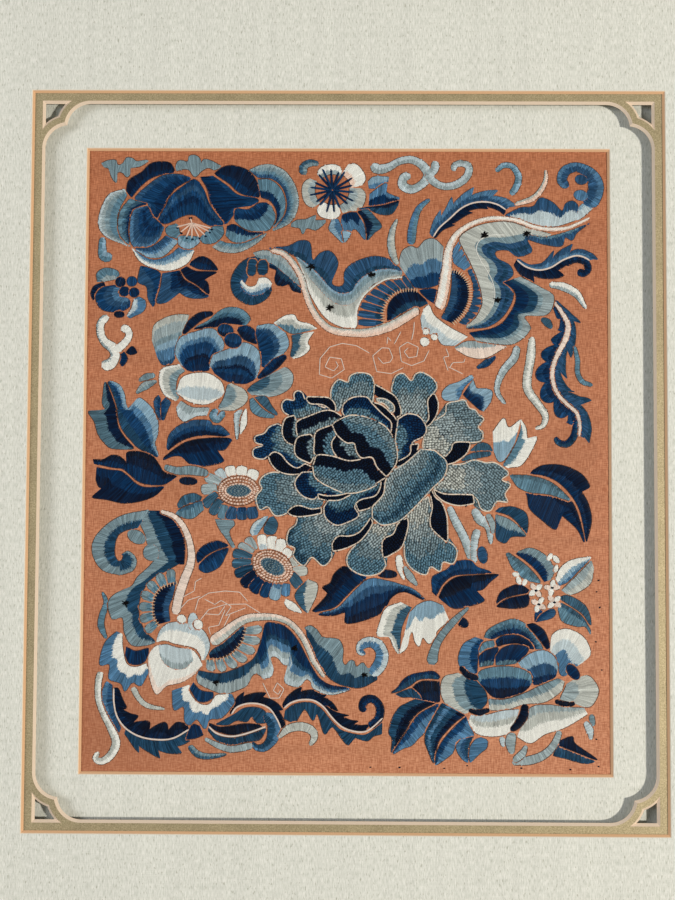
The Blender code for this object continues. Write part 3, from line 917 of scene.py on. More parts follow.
middle = Motif("peony_middle_knots")
for inner, outer, bands, *uncorded in (
    # dark ground of black knots under the folded petals: painted shade in the gaps between them
    ("104,136 104,154 118,170", "126,132 151,138 152,156 144,168", "black", "uncorded"),
    # petals at the back, from the upper left round to the right
    ("123,129.4 113,131 105,132.6", "120,128.5 112,126 108.5,124 106.8,120.6 104.3,119.8 102.8,121.5 "
     "103,124.4 99,124 97,126.5 98,130 101.5,132", "slate .3 steel .5 indigo"),
    ("124.5,129 127.5,126.5 134,125 141,125", "122.5,129 121,124 121.2,118.5 124.5,114.3 129,115.6 "
     "130,112.6 134,110.9 139.5,111.8 141.5,116 141.2,124", "mist .3 slate .7 steel"),
    ("154.8,131.4 160,130.8 166.5,135.5", "153.8,125 150.5,120 151,116 152.5,112.3 156,111.2 159.8,114.8 "
     "161.8,111.6 165,110.6 170,113.5 172.2,118 168.5,123 167.6,128 167.3,134", "mist .5 slate .66 steel"),
    ("167,138 166,143 166,147.2 170.8,148.3 176,151.6", "167.5,136.8 172.5,133.2 176.2,130.5 177,126 "
     "182,124.6 185.5,124 187.8,127.8 190.8,128.8 192.5,131.3 195,133.2 192,137 194.4,140 193.5,143.6 "
     "189,144.6 180.5,145 178.5,149.5", "stone .35 mist .7 slate"),
    ("177.4,156.5 176.5,160.5 173.5,164.3 170.6,166.6", "179,155.6 185,154.9 190,153.1 196,154.4 "
     "200.5,154.4 206.8,159.3 203.4,162.5 207.8,164.8 205,169.4 206.4,173.2 201,173 198,177.4 193.5,176.6 "
     "190.6,171 182,169.4 174,168.3", "stone .35 mist .6 slate"),
    ("158.6,179.5 163,175 168.3,171", "158.3,186 156.8,193 157.2,201 161,206 167,208.4 169.2,204.4 "
     "173.8,206.8 175.2,202.2 180,203 182,197.5 179.5,193.4 174,190.6 169.6,185.5 169.6,177",
     "stone .3 mist .52 slate .75 steel"),
    ("141.5,184.5 148,184.6 153.5,184.2", "139.5,187 136.5,192 131.5,196 129,201 130.5,205.5 137,208.8 "
     "144,208 147.6,204 146.2,199 146.2,193 151,188.6", "stone .25 mist .45 slate .7 steel"),
    ("140.6,174 136,178.5 129,183 122.8,184 117.8,179.5 113.5,179.6",
     "141.5,179 138.6,184 133,188.8 124.5,190 121,194.5 121.6,200 117.5,204.4 112,200.2 108,204.4 103,199.8 "
     "103.8,196 100,193.8 100.8,187.6 104.2,184.6 105,181.2", "mist .3 slate .6 steel .85 mid"),
    ("104.6,161 104,166.4 109.5,171.4 117,172.8", "98,160.2 93,159.4 88.2,161.4 86.4,164.4 87.6,167.4 "
     "84.8,171.3 86.6,177.4 90.5,176 94,180.2 99,179.4 104,175.4 110,176.4 116,176",
     "mist .15 slate .55 steel"),
    ("97.3,137 98,143 102.8,147.4 104,151.6 108,154.4", "95,135.8 91,137.4 88.5,140.4 84.2,142 84.6,145 "
     "88.2,146.2 83.6,148 83.6,151.8 88.5,152.8 92.5,149.4 97,151.4 101,155.6 106.5,156.4",
     "slate .3 steel .5 indigo"),
    # near-black petals in their shadow
    ("108.8,123.6 111,125.6 117,126.2 122.3,129.6", "109,122.7 115,122.8 119.5,123.2 122.3,126 122.9,129.4",
     "black"),
    ("141.6,120.6 144.5,122.6 148,123.4 150.8,126 151.4,129.6 152.6,132.4",
     "141.8,116.4 147.5,119.6 152,122.6 154.4,128 154.6,131.4", "black"),
    ("143.3,124.4 147,125.6 150,129 151,130", "143,123.3 147.3,123.8 151,126.6 151.3,130", "mist"),
    ("141.2,127.2 144,129.8 148,131.8 150.3,136 150.6,141 151,144.6",
     "141.4,125.4 145.5,126.8 149.6,130.4 152.4,134 152.7,139.5 152,143.8", "black"),
    ("170.4,120.8 168.2,124 168.4,129 168.6,133 166.9,135.6", "171.2,121 172.7,125.5 172,130.5 169.6,134.6 "
     "167.4,136.6", "black"),
    ("90.4,152 93,149.8 96.5,151 100,155 104.5,157.4 108.5,155.2",
     "91.5,154.8 94.8,158.2 100,160 106,159.7 111.6,156.6", "black"),
    ("176.5,151.8 179.3,148.5 181,144.8 188.4,144.6", "177,155 181,153.8 186,150.2 188.4,146", "black"),
    ("170.8,167.6 176,169.8 184,170 190,170.2", "171.5,169.5 176,173 183,174.9 190.4,173.8", "black"),
    ("169.4,170 170.3,176 169.3,181.5 170,186 174,190 177,192.6",
     "169.8,168 171.5,171.5 174.5,174 176.8,180 177.3,186 177.4,192.4", "black"),
    ("156.5,182 153.5,184.5 151.5,189 147,191.5 146,195 146.5,200.4",
     "157.8,181.3 158.2,184.5 157,190 154.8,195.5 150,198.8 147,200.4", "black"),
    ("140.3,181.5 138,185 134.5,188.8 130,190.4 124.5,190.6 121.6,194",
     "141.2,183.2 139.2,187.2 135,192.2 130,195 125.5,196.6 121.8,197.2", "black"),
    ("100,178.8 102.5,176.5 106,175.8 111.5,177.4 116.3,176.8", "101,179.8 105,180.6 111,180 116.4,178.8",
     "black"),
    # petals that fold over the middle
    ("127,169.6 120,166.6 115.2,163.8 112.4,159", "124,170.8 116,169.4 113,172.2 108,171 104.2,167 104,163 "
     "107,159.3", "steel .4 indigo .5 navy"),
    ("114.6,170 119,171 125,170.6 130.5,169.2", "114.8,171.8 120,172.7 126,172.3 130.8,169.8", "black"),
    ("144.4,165 138,168 131,170.3 125,173 119.5,173.2", "143.5,169.6 136.5,172.2 132.6,175.5 134.4,180 "
     "129,183.2 123.5,184.6 118.5,181 117.6,176", "steel .35 mid .5 navy"),
    ("145.6,163.6 145,167 142.5,170.8 136,172.6 133,174.6", "147.2,163 147,168 144,172.5 140,176 "
     "134.4,177.8", "black"),
    ("153,137 152.4,143 153,148 153.2,153.6", "153.4,133.4 158,130.9 163.5,132.2 166.9,137.4 165.6,141.6 "
     "160.3,144.6 159.2,149.6 154.5,152.8", "steel .4 indigo .55 navy"),
    ("160,145.6 159.3,150.5 153,154.4", "163.4,145.2 161,151 153.2,156.4", "black"),
    ("165,147.8 157.5,154.6 150,159.5 147.5,164 146.5,170 141,176.3",
     "171,148.4 176.7,154 175.5,161 169.5,167 162,175.2 154,182.4 146,184.4 141,181",
     "mist .2 slate .45 steel .68 mid .85 steel"),
    ("127.5,132 132,131 139,132.6 145.5,136.5 149.3,140.6", "126.3,130 127.2,126 131.5,123 138,122.8 "
     "140.8,126 145.5,130.8 149.8,135 149.9,139.5", "steel .42 indigo .55 navy"),
    ("103.8,134 103.6,139.6 104,143", "103,131.8 98.6,133.6 97.3,140 99.3,144.2 103.4,146.2",
     "slate .3 black"),
    ("104.6,142 108,140.7 113,139.6 121,135.3 126,132.9", "103.9,139 104.5,134.8 110.5,132 117,129.6 "
     "121.5,129.6 126,132.2", "slate .38 black"),
    ("112.5,143 112.6,148 113,151", "111,140.9 105,142.4 103.3,148 105,152 111,154.8", "slate .42 black"),
    ("122.6,140.6 121.4,144.5 122,149 125,152.2", "121.3,136.4 114,139.6 113,145 113.4,150.6 120,151.5",
     "steel .45 black"),
    ("126,143.2 129.5,145 132,145.2 132.6,149 135.2,152.2", "123.4,141.6 121.4,145 122.6,149.6 127,153.2 "
     "134,153.2", "slate .5 black"),
    # the two middle petals, each blue with a black fold along one side
    ("112,156 113.5,161.7 120.8,166.2 128,169 134,168.6 142.3,165",
     "112.6,154.6 114.2,151.2 121,151.6 129,153.8 135,153.2 140.5,151.9 143,155 147.8,161.4", "black"),
    ("112.2,156.2 120.8,157.4 127.6,159 135.3,158.3 139.4,162 142.8,164.9",
     "112.6,158.8 115.5,163.4 120.8,166.2 127.6,168.9 134,168.4 142.2,165.2", "steel .6 slate", "uncorded"),
    ("121.6,136 123.7,140.6 128.5,144.6 132.2,144.8 133.5,149 136,152 141,151.8 143.5,156.5 147.9,161",
     "122.6,134.9 127,132.7 131,131.6 138,132.6 146,136.3 150.2,141.2 152.6,148 152.4,154.5 148.6,160.5",
     "black"),
    ("126.4,133.4 130.1,138.8 136,140.2 138.9,144 140.4,146.6 145.3,148.3 150.6,156.6",
     "127,132.9 131,131.7 138,132.7 145.8,136.4 150,141.3 152.4,148 151.9,155", "steel .55 slate",
     "uncorded"),
):
    middle.fill(inner, outer, bands, void=0.0 if uncorded else 0.35, stitch="knots", corded=not uncorded)
middle.sew()


# Upper left flower: a peony in satin stitch, its petals nested on both sides of a fan of white stamens
# tipped with dark knots. Grey-blue sprays lie above it and dark leaves below.
def spread(values, count):
    """Values spread evenly over a count of places and smoothed between them."""
    wide = np.interp(np.linspace(0, len(values) - 1, count), np.arange(len(values)), values)
    window = np.hanning(count // 8 * 2 + 3)
    half = len(window) // 2
    return np.convolve(np.pad(wide, half, "edge"), window / window.sum(), "valid")[:count]


def heading(line):
    """The direction of a line at each of its points."""
    step = np.gradient(line, axis=0)
    return step / np.maximum(np.linalg.norm(step, axis=1, keepdims=True), 1e-6)


def beside(line, distance):
    """A line moved to its left, as seen when going along it, by a distance that may change on the way."""
    step = heading(line)
    return line + np.stack([step[:, 1], -step[:, 0]], 1) * np.broadcast_to(distance, len(line))[:, None]


def ribbon(motif, points, widths, bands, lean=0.0, void=0.5):
    """Stitches worked across a line whose widths are spread along it. Bands run from right to left."""
    line = curve(points, 120)
    half = spread(widths, 120) / 2
    walked = np.linspace(0, length_of(line), 120)
    for to_end, reach in ((walked, half[0]), (walked[::-1], half[-1])):
        half = half * np.sqrt(1 - (1 - np.clip(to_end / max(reach, 0.1), 0.12, 1)) ** 2)
    motif.fill(beside(line, -half), beside(line, half), bands, lean=lean, void=void)


def oval(motif, centre, length, width, turn, bands, void=0.45):
    """A small oval, with stitches across its length. The turn is in degrees clockwise."""
    angle = np.linspace(0, pi, 24)
    low = np.stack([-np.cos(angle) * length / 2, np.sin(angle) * width / 2], 1)
    high = low * (1, -1)
    motif.fill(turned(low, radians(turn)) + centre, turned(high, radians(turn)) + centre, bands, void=void)


upper_left = Motif("peony_upper_left")
for inner, outer, bands in (
    # sprays and the dark petals at the back
    ("7.4,7.6 10,6.2 14,6 15,8.3 17.4,7.8 19.5,4.8 22.5,5.2 24.4,6.6 29.8,5.8",
     "8.6,9.2 10.8,10 12,13.8 14.4,16.7 14.8,12 17.5,11.8 19.4,14 21,13 21,9.7 26,8.7 29.8,6.4", "slate"),
    ("43.8,9.4 44.6,6.8 46.6,6 49.6,6.7 50.4,4 52.6,3.3 55.2,4.6 56.3,7.3 57.6,5.5 61,6.1 65.8,8.7",
     "44.2,10.9 47.5,10 50.3,10.5 52.4,13.4 54.2,13.4 56.4,11 59.6,9.3 62.5,10.3 65.8,9.5", "slate"),
    ("22,24 27,18 33,13.8 42.5,11.6", "19.6,21 21,15.8 27,12 32,7.4 40,7 43,10.5", "navy .3 ink"),
    ("64,13.2 70,17 75.5,21.8 84,24.4", "63.2,12.4 67,9.4 72,8.6 79.5,11.2 84,17.5 85,23.6", "navy .35 ink"),
    # upper petals round the apex
    ("34.3,36 38.2,28 43.2,20 51,15.2", "33.4,35 31.3,31 29.7,26.3 24,24.8 31,17.8 37.5,13.6 45,12.9 "
     "50.6,14.5", "navy .35 indigo .82 blue"),
    ("56.2,14.3 59.5,20 61.7,28 65,33 68.2,37.3", "62,13.8 68.5,18.2 74.5,23 84,25 82,28 73.5,28.9 72,33 "
     "69.3,36.8", "navy .75 indigo"),
    ("36.5,37.6 41,36.6 46,34 50.5,32.6 54,33.2 58,36.5 62,38.2 66.8,38",
     "35.2,36 39,29 42,23.5 48,18.5 53.3,15.6 57.5,20.5 60.3,27.5 64,33 67.3,37.2",
     "indigo .34 navy .54 indigo .68 blue .84 indigo"),
    # nested petals on the right
    ("81,11.2 85,14.2 91,14.6 96.5,19 99,27 97.4,34 92,39.8", "80.3,10.6 85,8.6 91,8.2 98,11.8 103,20 "
     "103.8,29 100,36.5 92,40.6", "blue .25 steel .5 slate .84 mist"),
    ("86,24 90.5,25.8 93.6,30.5 93.6,36 91.5,39", "84.4,15.6 90,15.6 95,19.5 97.6,26 96.6,33 92,39",
     "navy .4 steel"),
    ("73,34.5 73.8,30.2 79.5,30.4 85,27.3 88.5,27", "73.5,36 77.5,39.4 84,41 90,39.8 92.7,34 91,28.8",
     "indigo .2 navy .48 steel"),
    ("69.5,38.6 73,38 80,41.5 87.5,41.8", "68.8,43 72.5,46 79.5,45.8 87,42.3", "navy .45 steel"),
    ("66,46 70,47.3 77,47.3 83,45 88,42.2", "62.5,48.8 67,51 75,51.2 83,47.3 88.5,42.4",
     "steel .3 slate .6 mist"),
    # nested petals on the left
    ("19.6,23.5 16.5,29 14.8,36 16.3,43 21.5,48", "18.5,20.3 10.5,23.8 6.3,35 9,43 21.5,48.6",
     "steel .4 slate .66 mist .86 pale"),
    ("29.3,27.5 24,29.6 21.3,34.5 20.4,41 21.2,46.8", "21.3,25.2 17.3,30.5 15.9,37 17,43 20.8,47.3",
     "navy .25 mid .6 steel"),
    ("30.4,29.5 32.5,34 37,38", "29.8,28.8 23.5,31 21.7,39 23,48 30,49.2 35.5,45 38,39.2",
     "indigo .25 navy .42 indigo .6 blue .85 azure"),
    # petals below, with the three small ones under the stamens
    ("24.5,49.8 31,49.5 36.5,46.3 39.5,43.3", "25,50.6 31,53.8 38,53.2 45.2,46.2", "blue .4 azure .6 sky"),
    ("24.5,51.3 30,54.8 35.5,55.4 42,52.7 46,49.6 52.5,50.3", "23,50 27,56 35,59.8 43,60 50,56.5 53,51",
     "azure .3 sky .55 white"),
    ("45,38.2 46,42.5", "44,37.5 39.5,39.5 40.5,43 45,44.5", "steel"),
    ("47,43.5 55,44", "45.5,44 46,48 51,49.5 55.3,46.8 56,44.5", "steel .5 sky"),
    ("57,43.5 61,40 64,38.5", "56,44.8 58.5,47 63.5,46.3 67.3,42.5 67,38.8", "steel"),
    # leaves below
    ("27.5,58.5 36,61.5 36.6,68 33.4,78.4", "27,58.8 26,66 30.2,68.5 31,74 33,78", "indigo .5 blue"),
    ("46,60.8 48.5,65.2 54.5,68.6 60.3,73", "38,62.2 37,69 35.3,76.3 41,75.5 43,69.6 50,73.5 56,74.2 "
     "60,73.6", "ink .2 navy .5 blue"),
    ("51.3,57.5 56,59.6 64.6,60.2", "52,56.3 56.5,53.8 61,55.4 64.8,59.8", "navy .5 ink"),
    ("47,60.3 50,64.5 55,67.5 60.5,72", "49.5,58.8 54,60.9 64,61.4 58,64.2 60,67 60.8,71.5", "ink"),
):
    upper_left.fill(inner, outer, bands)
ribbon(upper_left, "8.2,44.6 8,49 8.8,53.5 12.6,54", [2.5, 3, 4, 4], "steel .5 sky")
STAMEN_TIPS = charted("44.5,39 46.5,41.5 49.3,44 52,44.6 55.5,44 58.5,43 60.5,41.2 61.5,39.6 51,34")
for tip in STAMEN_TIPS:
    upper_left.laid([(52, 37), tip], "blush", 0.75, 0.6, smooth=False)
knots = STAMEN_TIPS + (0.3, 0.6)
upper_left.loops(knots, np.tile(floss_colours["ink"], (len(knots), 1)), 0.75, 0.7)
upper_left.sew()


# Left edge: a small flower with dark round petals, a white forked scroll with knobbed ends and two
# leaflets, all in satin stitch.
scroll_left = Motif("small_flower_and_scroll")
for inner, outer, bands in (
    ("9,66 15.5,64.5", "6,66 5.8,62 10,59.6 15.5,61 16.6,64", "mist .4 steel"),
    ("9.5,68.2 6.3,70 5.3,74", "9,66.7 4.5,68.5 3,72 4,75", "ink"),
    ("16.5,68.5 17.5,73 21.5,75", "14,68 8,69.5 5.3,74 8,79.5 15,81 21,79 22,76",
     "azure .35 blue .65 indigo"),
    ("24,75 23,79 20.8,83", "26,73.6 29.5,76 28.5,80.5 22,84", "pale .35 azure"),
    ("20.4,101 23,101.9 25.8,101.2", "20.4,101 23.4,98.2 25.8,101", "ink"),
    ("19.4,100.8 17,104 18.6,108", "19.4,100.8 20.9,104.4 18.6,108", "navy"),
):
    scroll_left.fill(inner, outer, bands)
for centre, length, width, turn, bands in (
    ((17.2, 66.3), 4.6, 4.4, 20, "ink"), ((22.8, 66), 4.8, 4.4, 0, "indigo"),
    ((19.2, 71), 4.4, 4.4, 50, "navy"),
    ((24, 71.5), 4.6, 4.2, -15, "navy"), ((16.8, 82.3), 4.8, 2.6, 0, "ink"),
):
    oval(scroll_left, centre, length, width, turn, bands)
ribbon(scroll_left, "11,83.3 8,86.5 7.7,91.5 10,96 14,99 15,103 12.5,107 8.8,107",
       [3, 3, 3, 3.2, 4.6, 3.8, 4.6, 4.8], "mist .2 white")
ribbon(scroll_left, "15.5,100 20,96 21.8,92.5 20.6,89.6 18,89.3", [3.6, 3, 2.6, 2.6, 3.4], "white", void=0.0)
scroll_left.sew()


# Top edge: a prunus blossom with a ring of white and grey petals and dark stamens sewn over them, its
# leaves, a comma-shaped curl, and a long pale scroll in two branches.
def ringed(centre, radius, turns):
    """Points round part of a circle, with the turns in degrees clockwise from the right."""
    angle = np.radians(np.linspace(*turns, 24))
    return np.stack([np.cos(angle), np.sin(angle)], 1) * radius + centre


prunus = Motif("prunus_and_scrolls")
PRUNUS = (121.0, 20.5)
for first, last, near, far, bands in (
    (-134, -64, 8.2, 12.6, "mist .4 white"),
    (-60, -9, 9.4, 17.4, "blush .3 white"),
    (-5, 66, 8.6, 16.6, "mist .5 stone"),
    (70, 130, 7.6, 14.2, "white"),
    (136, 208, 9.0, 14.8, "mist .5 stone"),
):
    rounding = 1 - 0.16 * np.abs(np.linspace(-1, 1, 24)) ** 4
    outer = (ringed((0, 0), far, (first + 2, last - 2)) * rounding[:, None]) + PRUNUS
    prunus.fill(ringed(PRUNUS, near, (first, last)), outer, bands)
for inner, outer, bands in (
    ("139,19.3 143,19.2 148,16.8", "138.6,16.2 141.5,13.9 148.5,14", "azure .4 sky"),
    ("139,28.3 146,27.3 153.5,25.3", "139.5,22.5 143,19.8 147.5,17.2 147.5,21.5 153.8,24.5",
     "navy .5 azure"),
    ("138,29 146,28.2 153.5,26", "134,29.8 139,30.3 145,32.3 150,32 153,28", "ink .3 deep"),
    ("133.5,31 136.5,35 137.8,40 138,45", "138,30 141,33 145,38.3 141.5,41.5 138.7,44.8", "ink .45 mid"),
    ("126,33 130,31.7 133,31.8", "125.3,37 128,42.5 132,39.5 137,44.8 136.5,38", "navy .45 azure"),
    ("123.5,35 125.5,39.5 126.5,46", "121,35.3 119.5,39.5 122,42.5 126,46.5", "azure .5 sky"),
    ("126.2,41 127,46", "127.5,41 129.8,42 127.3,46.3", "sky"),
    ("101,37.2 104,35.5 108,35.2 112.5,33.2 112.5,35.6 117.5,35.5",
     "101,38.5 105,39.3 106.5,42.2 108.5,39.2 113,40 117.5,36.5", "slate"),
):
    prunus.fill(inner, outer, bands)
ribbon(prunus, "106.5,12.5 106.8,8.8 110,7 113.8,7.3", [3.6, 3, 2.8, 1.6], "slate .5 mid")
ribbon(prunus, "140.5,8 143.5,10 148.5,9 154,6 160,5.3 165,8 168,12.5 165.5,17 160,20 155.5,18 156,14 "
       "159,13.5", [4, 4.6, 2.6, 2.8, 3, 3.2, 4.2, 3.4, 3, 4, 3.6, 3], "mist .5 pale")
ribbon(prunus, "171.5,6.2 171,10 168.5,13 171,16.5 176,18.5 182,17.5 187,13.5 188,8.8 184.5,7 181,8 "
       "180.5,10.5", [3.4, 3.4, 3.4, 2.8, 2.8, 3, 3, 3, 2.6, 2.4, 2], "mist .5 pale", void=0.0)
ribbon(prunus, "152.7,35 150.5,40.5 149.8,47 151,53 153,57", [0.6, 2.2, 3, 3, 1.4], "mist .4 stone")
ribbon(prunus, "168.5,25 163.5,29.5 161,36 160,42 159.7,47", [1, 2.2, 3, 3.6, 3.4], "azure .5 steel")
STAMENS = 18
for i in range(STAMENS):
    angle = radians(i * 360 / STAMENS + 6 + 3 * sin(i * 2.4))
    reach = 10.6 + 1.1 * sin(i * 1.7)
    ray = np.array([cos(angle), sin(angle)])
    prunus.laid([ray * 0.4 + PRUNUS, ray * 5 + PRUNUS, ray * reach + PRUNUS], "navy" if i % 3 else "indigo",
                1.15, 0.75)
prunus.sew()


# Upper right bat, wings: broad satin bands in grey, blue and navy that follow a thick rib of white and
# pink thread, with a ring at the tip of the left wing and a hook at the tip of the right one.
wings = Motif("bat_upper_right_wings")
wings.fill("90.5,49.8 98,51 103.5,53.5 107,56 110,58.5 112.5,60.8 115,63.5 117.5,66.5 120,69 124.5,71.5 "
           "130.5,70.7 132.5,67 136,63.3 142,60.3 148,59.5 154.7,60.6",
           "90.5,49.2 99,48.6 105,45.8 110,47 111.3,55.5 115,52 120,51 123.8,57 120.7,66 123.5,68.5 127,67 "
           "127.3,61 132,56.5 141,53.5 149,55 154.7,60", "deep .3 blue", even=False, blend=0.3)
wings.fill("104.5,56 109,63 113,68 118,73.5 124,77.2 129,77.4 133,75 136.5,70.8 142,66.3 148,64 155,62.8",
           "103.5,53.7 110,58.6 115,63.6 119,68.1 124.5,71.7 130.5,70.9 133,67.2 137,63.2 143,60.4 149,59.8 "
           "155,60.9", "mist .4 slate .8 sky", void=0.0, even=False, blend=0.3)
wings.fill("106.5,60 108.5,67 112,75 118,83.5 126,88 132.7,88 133.3,80 137,72.3 146,65.3 155,63.7",
           "104.6,56.2 109,63.2 113,68.2 118.5,74 124,77.4 129.5,77.5 133,75.2 137,71 147,64.4 155,63",
           "white .5 stone", void=0.0, even=False, blend=0.9)
wings.fill("161.5,68.5 167,68.7 173.3,66.8", "153.7,57 155.5,50.8 159.5,48.4 163,49.3 166.5,45.5 171,44.8 "
           "175.3,48.5", "indigo .3 azure .58 mist")
wings.fill("187,88.6 197,87.6 204.5,82.5 209,74.5 209,69.5 205.3,66.2 209.3,62 207.5,57.3 201.5,54 201,50.5 "
           "207,50 212,53 218.7,50.3 216.5,45.3 221,44.8", "187,87.4 191.5,83.5 194.7,77 194.3,71 193,66 "
           "191.3,61.5 189.7,58 188,54 185.5,49.5 183.7,44 190,39.2 199,36.6 208,36.3 216,38.8 228,42.2",
           "blue .12 deep .24 blue .38 slate .56 stone", even=False, blend=0.2)
for inner, outer, bands in (
    ("218,42.8 224,43.9 230,42.8 237,40.8 246.5,37", "217,44.5 225,47 233,47.8 235,43.5 238.5,44.8 241,41 "
     "246.8,36.8", "steel .2 blue"),
    ("236.5,36 243,33.8 250,27.5", "236,31 241,29.5 247,24", "pale .7 sky"),
    ("208,34.2 214,35.2 222,38 231,37.8 240,35", "206,32.8 213,29.3 219.5,28.5 223,24.3 229,26.5 233.5,30.8 "
     "235.5,27 239,25.8 241.5,28", "pale .55 blue"),
):
    wings.fill(inner, outer, bands, void=0.3)
ribbon(wings, "236.3,18.6 233.6,15.3 235.5,10.6 241,8.8 246.8,11.5 250,16.5 249.7,22 246,28",
       [3, 4.6, 4.2, 3.8, 5.5, 7, 7, 8], "blue .6 azure", void=0.0)
oval(wings, (243, 15), 5.6, 4.4, 10, "blue", void=0.0)
oval(wings, (242.8, 22.8), 6.6, 4.6, 10, "azure", void=0.0)
wings.fill("205.5,66 209.5,69 211.3,73 210.3,77.5 208.3,81 205,85.5 199.5,88.8 188.5,91",
           "213,63.3 223,68.5 229.2,73 226,81.5 215,82.5 217.6,89 208.5,96.2 192,94.6",
           "navy .33 deep .58 slate .7 mist", even=False, blend=0.2)
# ring at the tip of the left wing
ribbon(wings, "86,56 79.5,58.5 75.3,64.5 76,70.5 81.5,74 87.5,71.5 89.5,67", [6, 6.5, 6.8, 6.8, 6.5, 6, 4],
       "deep .6 blue")
for inner, outer, bands in (
    ("76,67 79.5,71.5 85,72.2 90.5,69", "76.6,65.6 80,68.6 83.8,67.8 85.4,64.6 89,64.4 91.2,66.8",
     "azure .25 pale .6 white"),
    ("85,54.5 90,58.4 93.8,60.4 93,64 94,67.2 97,67.8 100,67 101.8,70 106,71.2",
     "84,52.8 90,56 95,58.5 98.5,61.5 100.8,65 103.5,67.5 106.8,70", "ink .5 deep"),
    ("84,53.6 92,57 99,62.5 106.5,69", "82.5,51.8 89,50.7 97,54 103,60.5 106.8,68", "slate .5 mist"),
):
    wings.fill(inner, outer, bands, void=0.0)
ribbon(wings, "82.2,55 81.8,59 81.2,62.8", [4, 3.4, 3.6], "deep", void=0.7)
ribbon(wings, "87,55.5 87,59 86.6,62.4", [4, 4.4, 4.6], "deep", void=0.7)
# the ribs, sewn last so that they stand over the bands
ribbon(wings, "173.5,79 175.5,70 177,60 178,50.5 181.5,43 188,37.8 196,34.8 204,34.3 212,35.5 219,38.3 "
       "227,39.7 236,39 242,36.5 247,34",
       [4.2, 4.6, 4.4, 3.6, 2.4, 1.8, 1.4, 1.2, 1.2, 1.1, 1.1, 1.0, 0.8, 0.3], "blush .3 white .8 shell",
       lean=0.025)
ribbon(wings, "91,50.3 97,52 102,57 106,64 108,71 110.5,78 115,85 121,89.6 130,91 140,90.7 150,87.5 "
       "157,83.5 163.5,79.5", [0.9, 1.8, 1.9, 2, 2, 2.2, 2.4, 2.8, 3.2, 3.6, 3.8, 3.6, 3],
       "blush .35 shell .75 stone", lean=0.03)
wings.laid("206,42.5 198,42.8 193,45.5 191.6,50 193.6,55 197,60.5 199.6,66 200.6,72 199.4,78", "white", 0.55,
           0.5)
wings.sew()


# Upper right bat, body: feathers in short rows beside arcs of couched ticks, dark wedges behind them, and
# a white beaked head with small round knobs.
def feathers(motif, inner, outer, count, bands, space=0.14, point=0.0):
    """A row of short feathers between two curves, with round ends or, with a point of 1, sharp ones."""
    near, far = curve(inner), curve(outer)
    for i in range(count):
        share = (i + np.array([space, 0.3, 0.5, 0.7, 1 - space])) / count
        base, tip = along(near, share), along(far, share)
        tip = base + (tip - base) * (1 - np.array([0.26, 0.03, 0.0, 0.03, 0.26]) * (1 + point * 2))[:, None]
        motif.fill(curve(base), curve(tip), bands, void=0.4)


def ticks(motif, points, count, length):
    """Short stitches laid across a line at even distances."""
    line = curve(points, count)
    for start, end in zip(beside(line, -length / 2), beside(line, length / 2)):
        motif.laid([start, end], "cream", 0.5, 0.6, smooth=False)


def tuft(motif, centre, size=1.5):
    """A knot of black thread where a stitch was fastened off."""
    for i, turn in enumerate((0.1, 0.4, 1.3, 1.7, 2.6, 2.9)):
        ray = np.array([cos(turn), sin(turn)]) * size * (1.3 if turn < 1 or turn > 2 else 1.0)
        start = dice.normal(0, 0.35, 2) + centre
        motif.laid([start - ray, start + ray], "soot", 0.8, 0.7 + 0.1 * i, smooth=False)


body = Motif("bat_upper_right_body")
feathers(body, "146,88 145.5,82 147,76 151,71.3 156,69.5 161.5,69.3",
         "133.5,88 133,81 137,72.5 146,66 154,63.8 158.5,62.3", 9, "deep .3 blue")
body.fill("149.5,86.3 156,80.5 163,78.3 167.5,76.3", "148.3,86 148.8,77.5 153.5,72 160.5,70.2 166.5,74.5",
          "deep .35 ink")
body.fill("163.8,70.2 167.5,74", "168,69 172.3,70.3 171,76.3", "navy")
body.fill("180,60.5 179.7,68 178.3,76 174.8,83.5", "181.5,60.5 186.8,66.5 187.3,74 184.5,81 179.5,85.7",
          "blue .38 navy .55 ink")
feathers(body, "187.5,60 190,66 190.2,73 188,80 183.5,86", "192,57.5 194.6,65 194.8,74 193,81.5 187.5,88", 8,
         "blue", space=0.08, point=0.8)
feathers(body, "179.2,52.5 181.5,57 186,59.8", "182.6,45 186.8,49.5 191,56", 4, "azure", space=0.06,
         point=0.6)
body.fill("164.5,84 166,90 172,92 175,96.3 181,97", "166,79.3 168.5,77.5 171,82.5 178,88 187,92.8",
          "pale .45 white")
for centre, length, width in (((166.3, 95.3), 4, 3.8), ((167, 90.3), 2.6, 2.4), ((171, 93), 2.8, 2.4)):
    oval(body, centre, length, width, 30, "white")
body.fill("181.5,98.2 187,95.3 196,95.3 204.5,95", "182,99 188,102.3 196,102.9 205.8,97.5", "mist .4 shell")
ticks(body, "146.3,86.5 145.8,81 147.5,76 151.5,71.6 157,69.8 162.5,70", 22, 2.2)
ticks(body, "179.5,60.3 183.5,61.3 187,65 188.6,70 188.2,76 185,82 180.5,86.3", 28, 2.4)
for centre in ((195.7, 42.5), (216.5, 42), (202, 74.5), (110.8, 58.8), (140, 62.5), (120, 78.5)):
    tuft(body, centre)
body.sew()


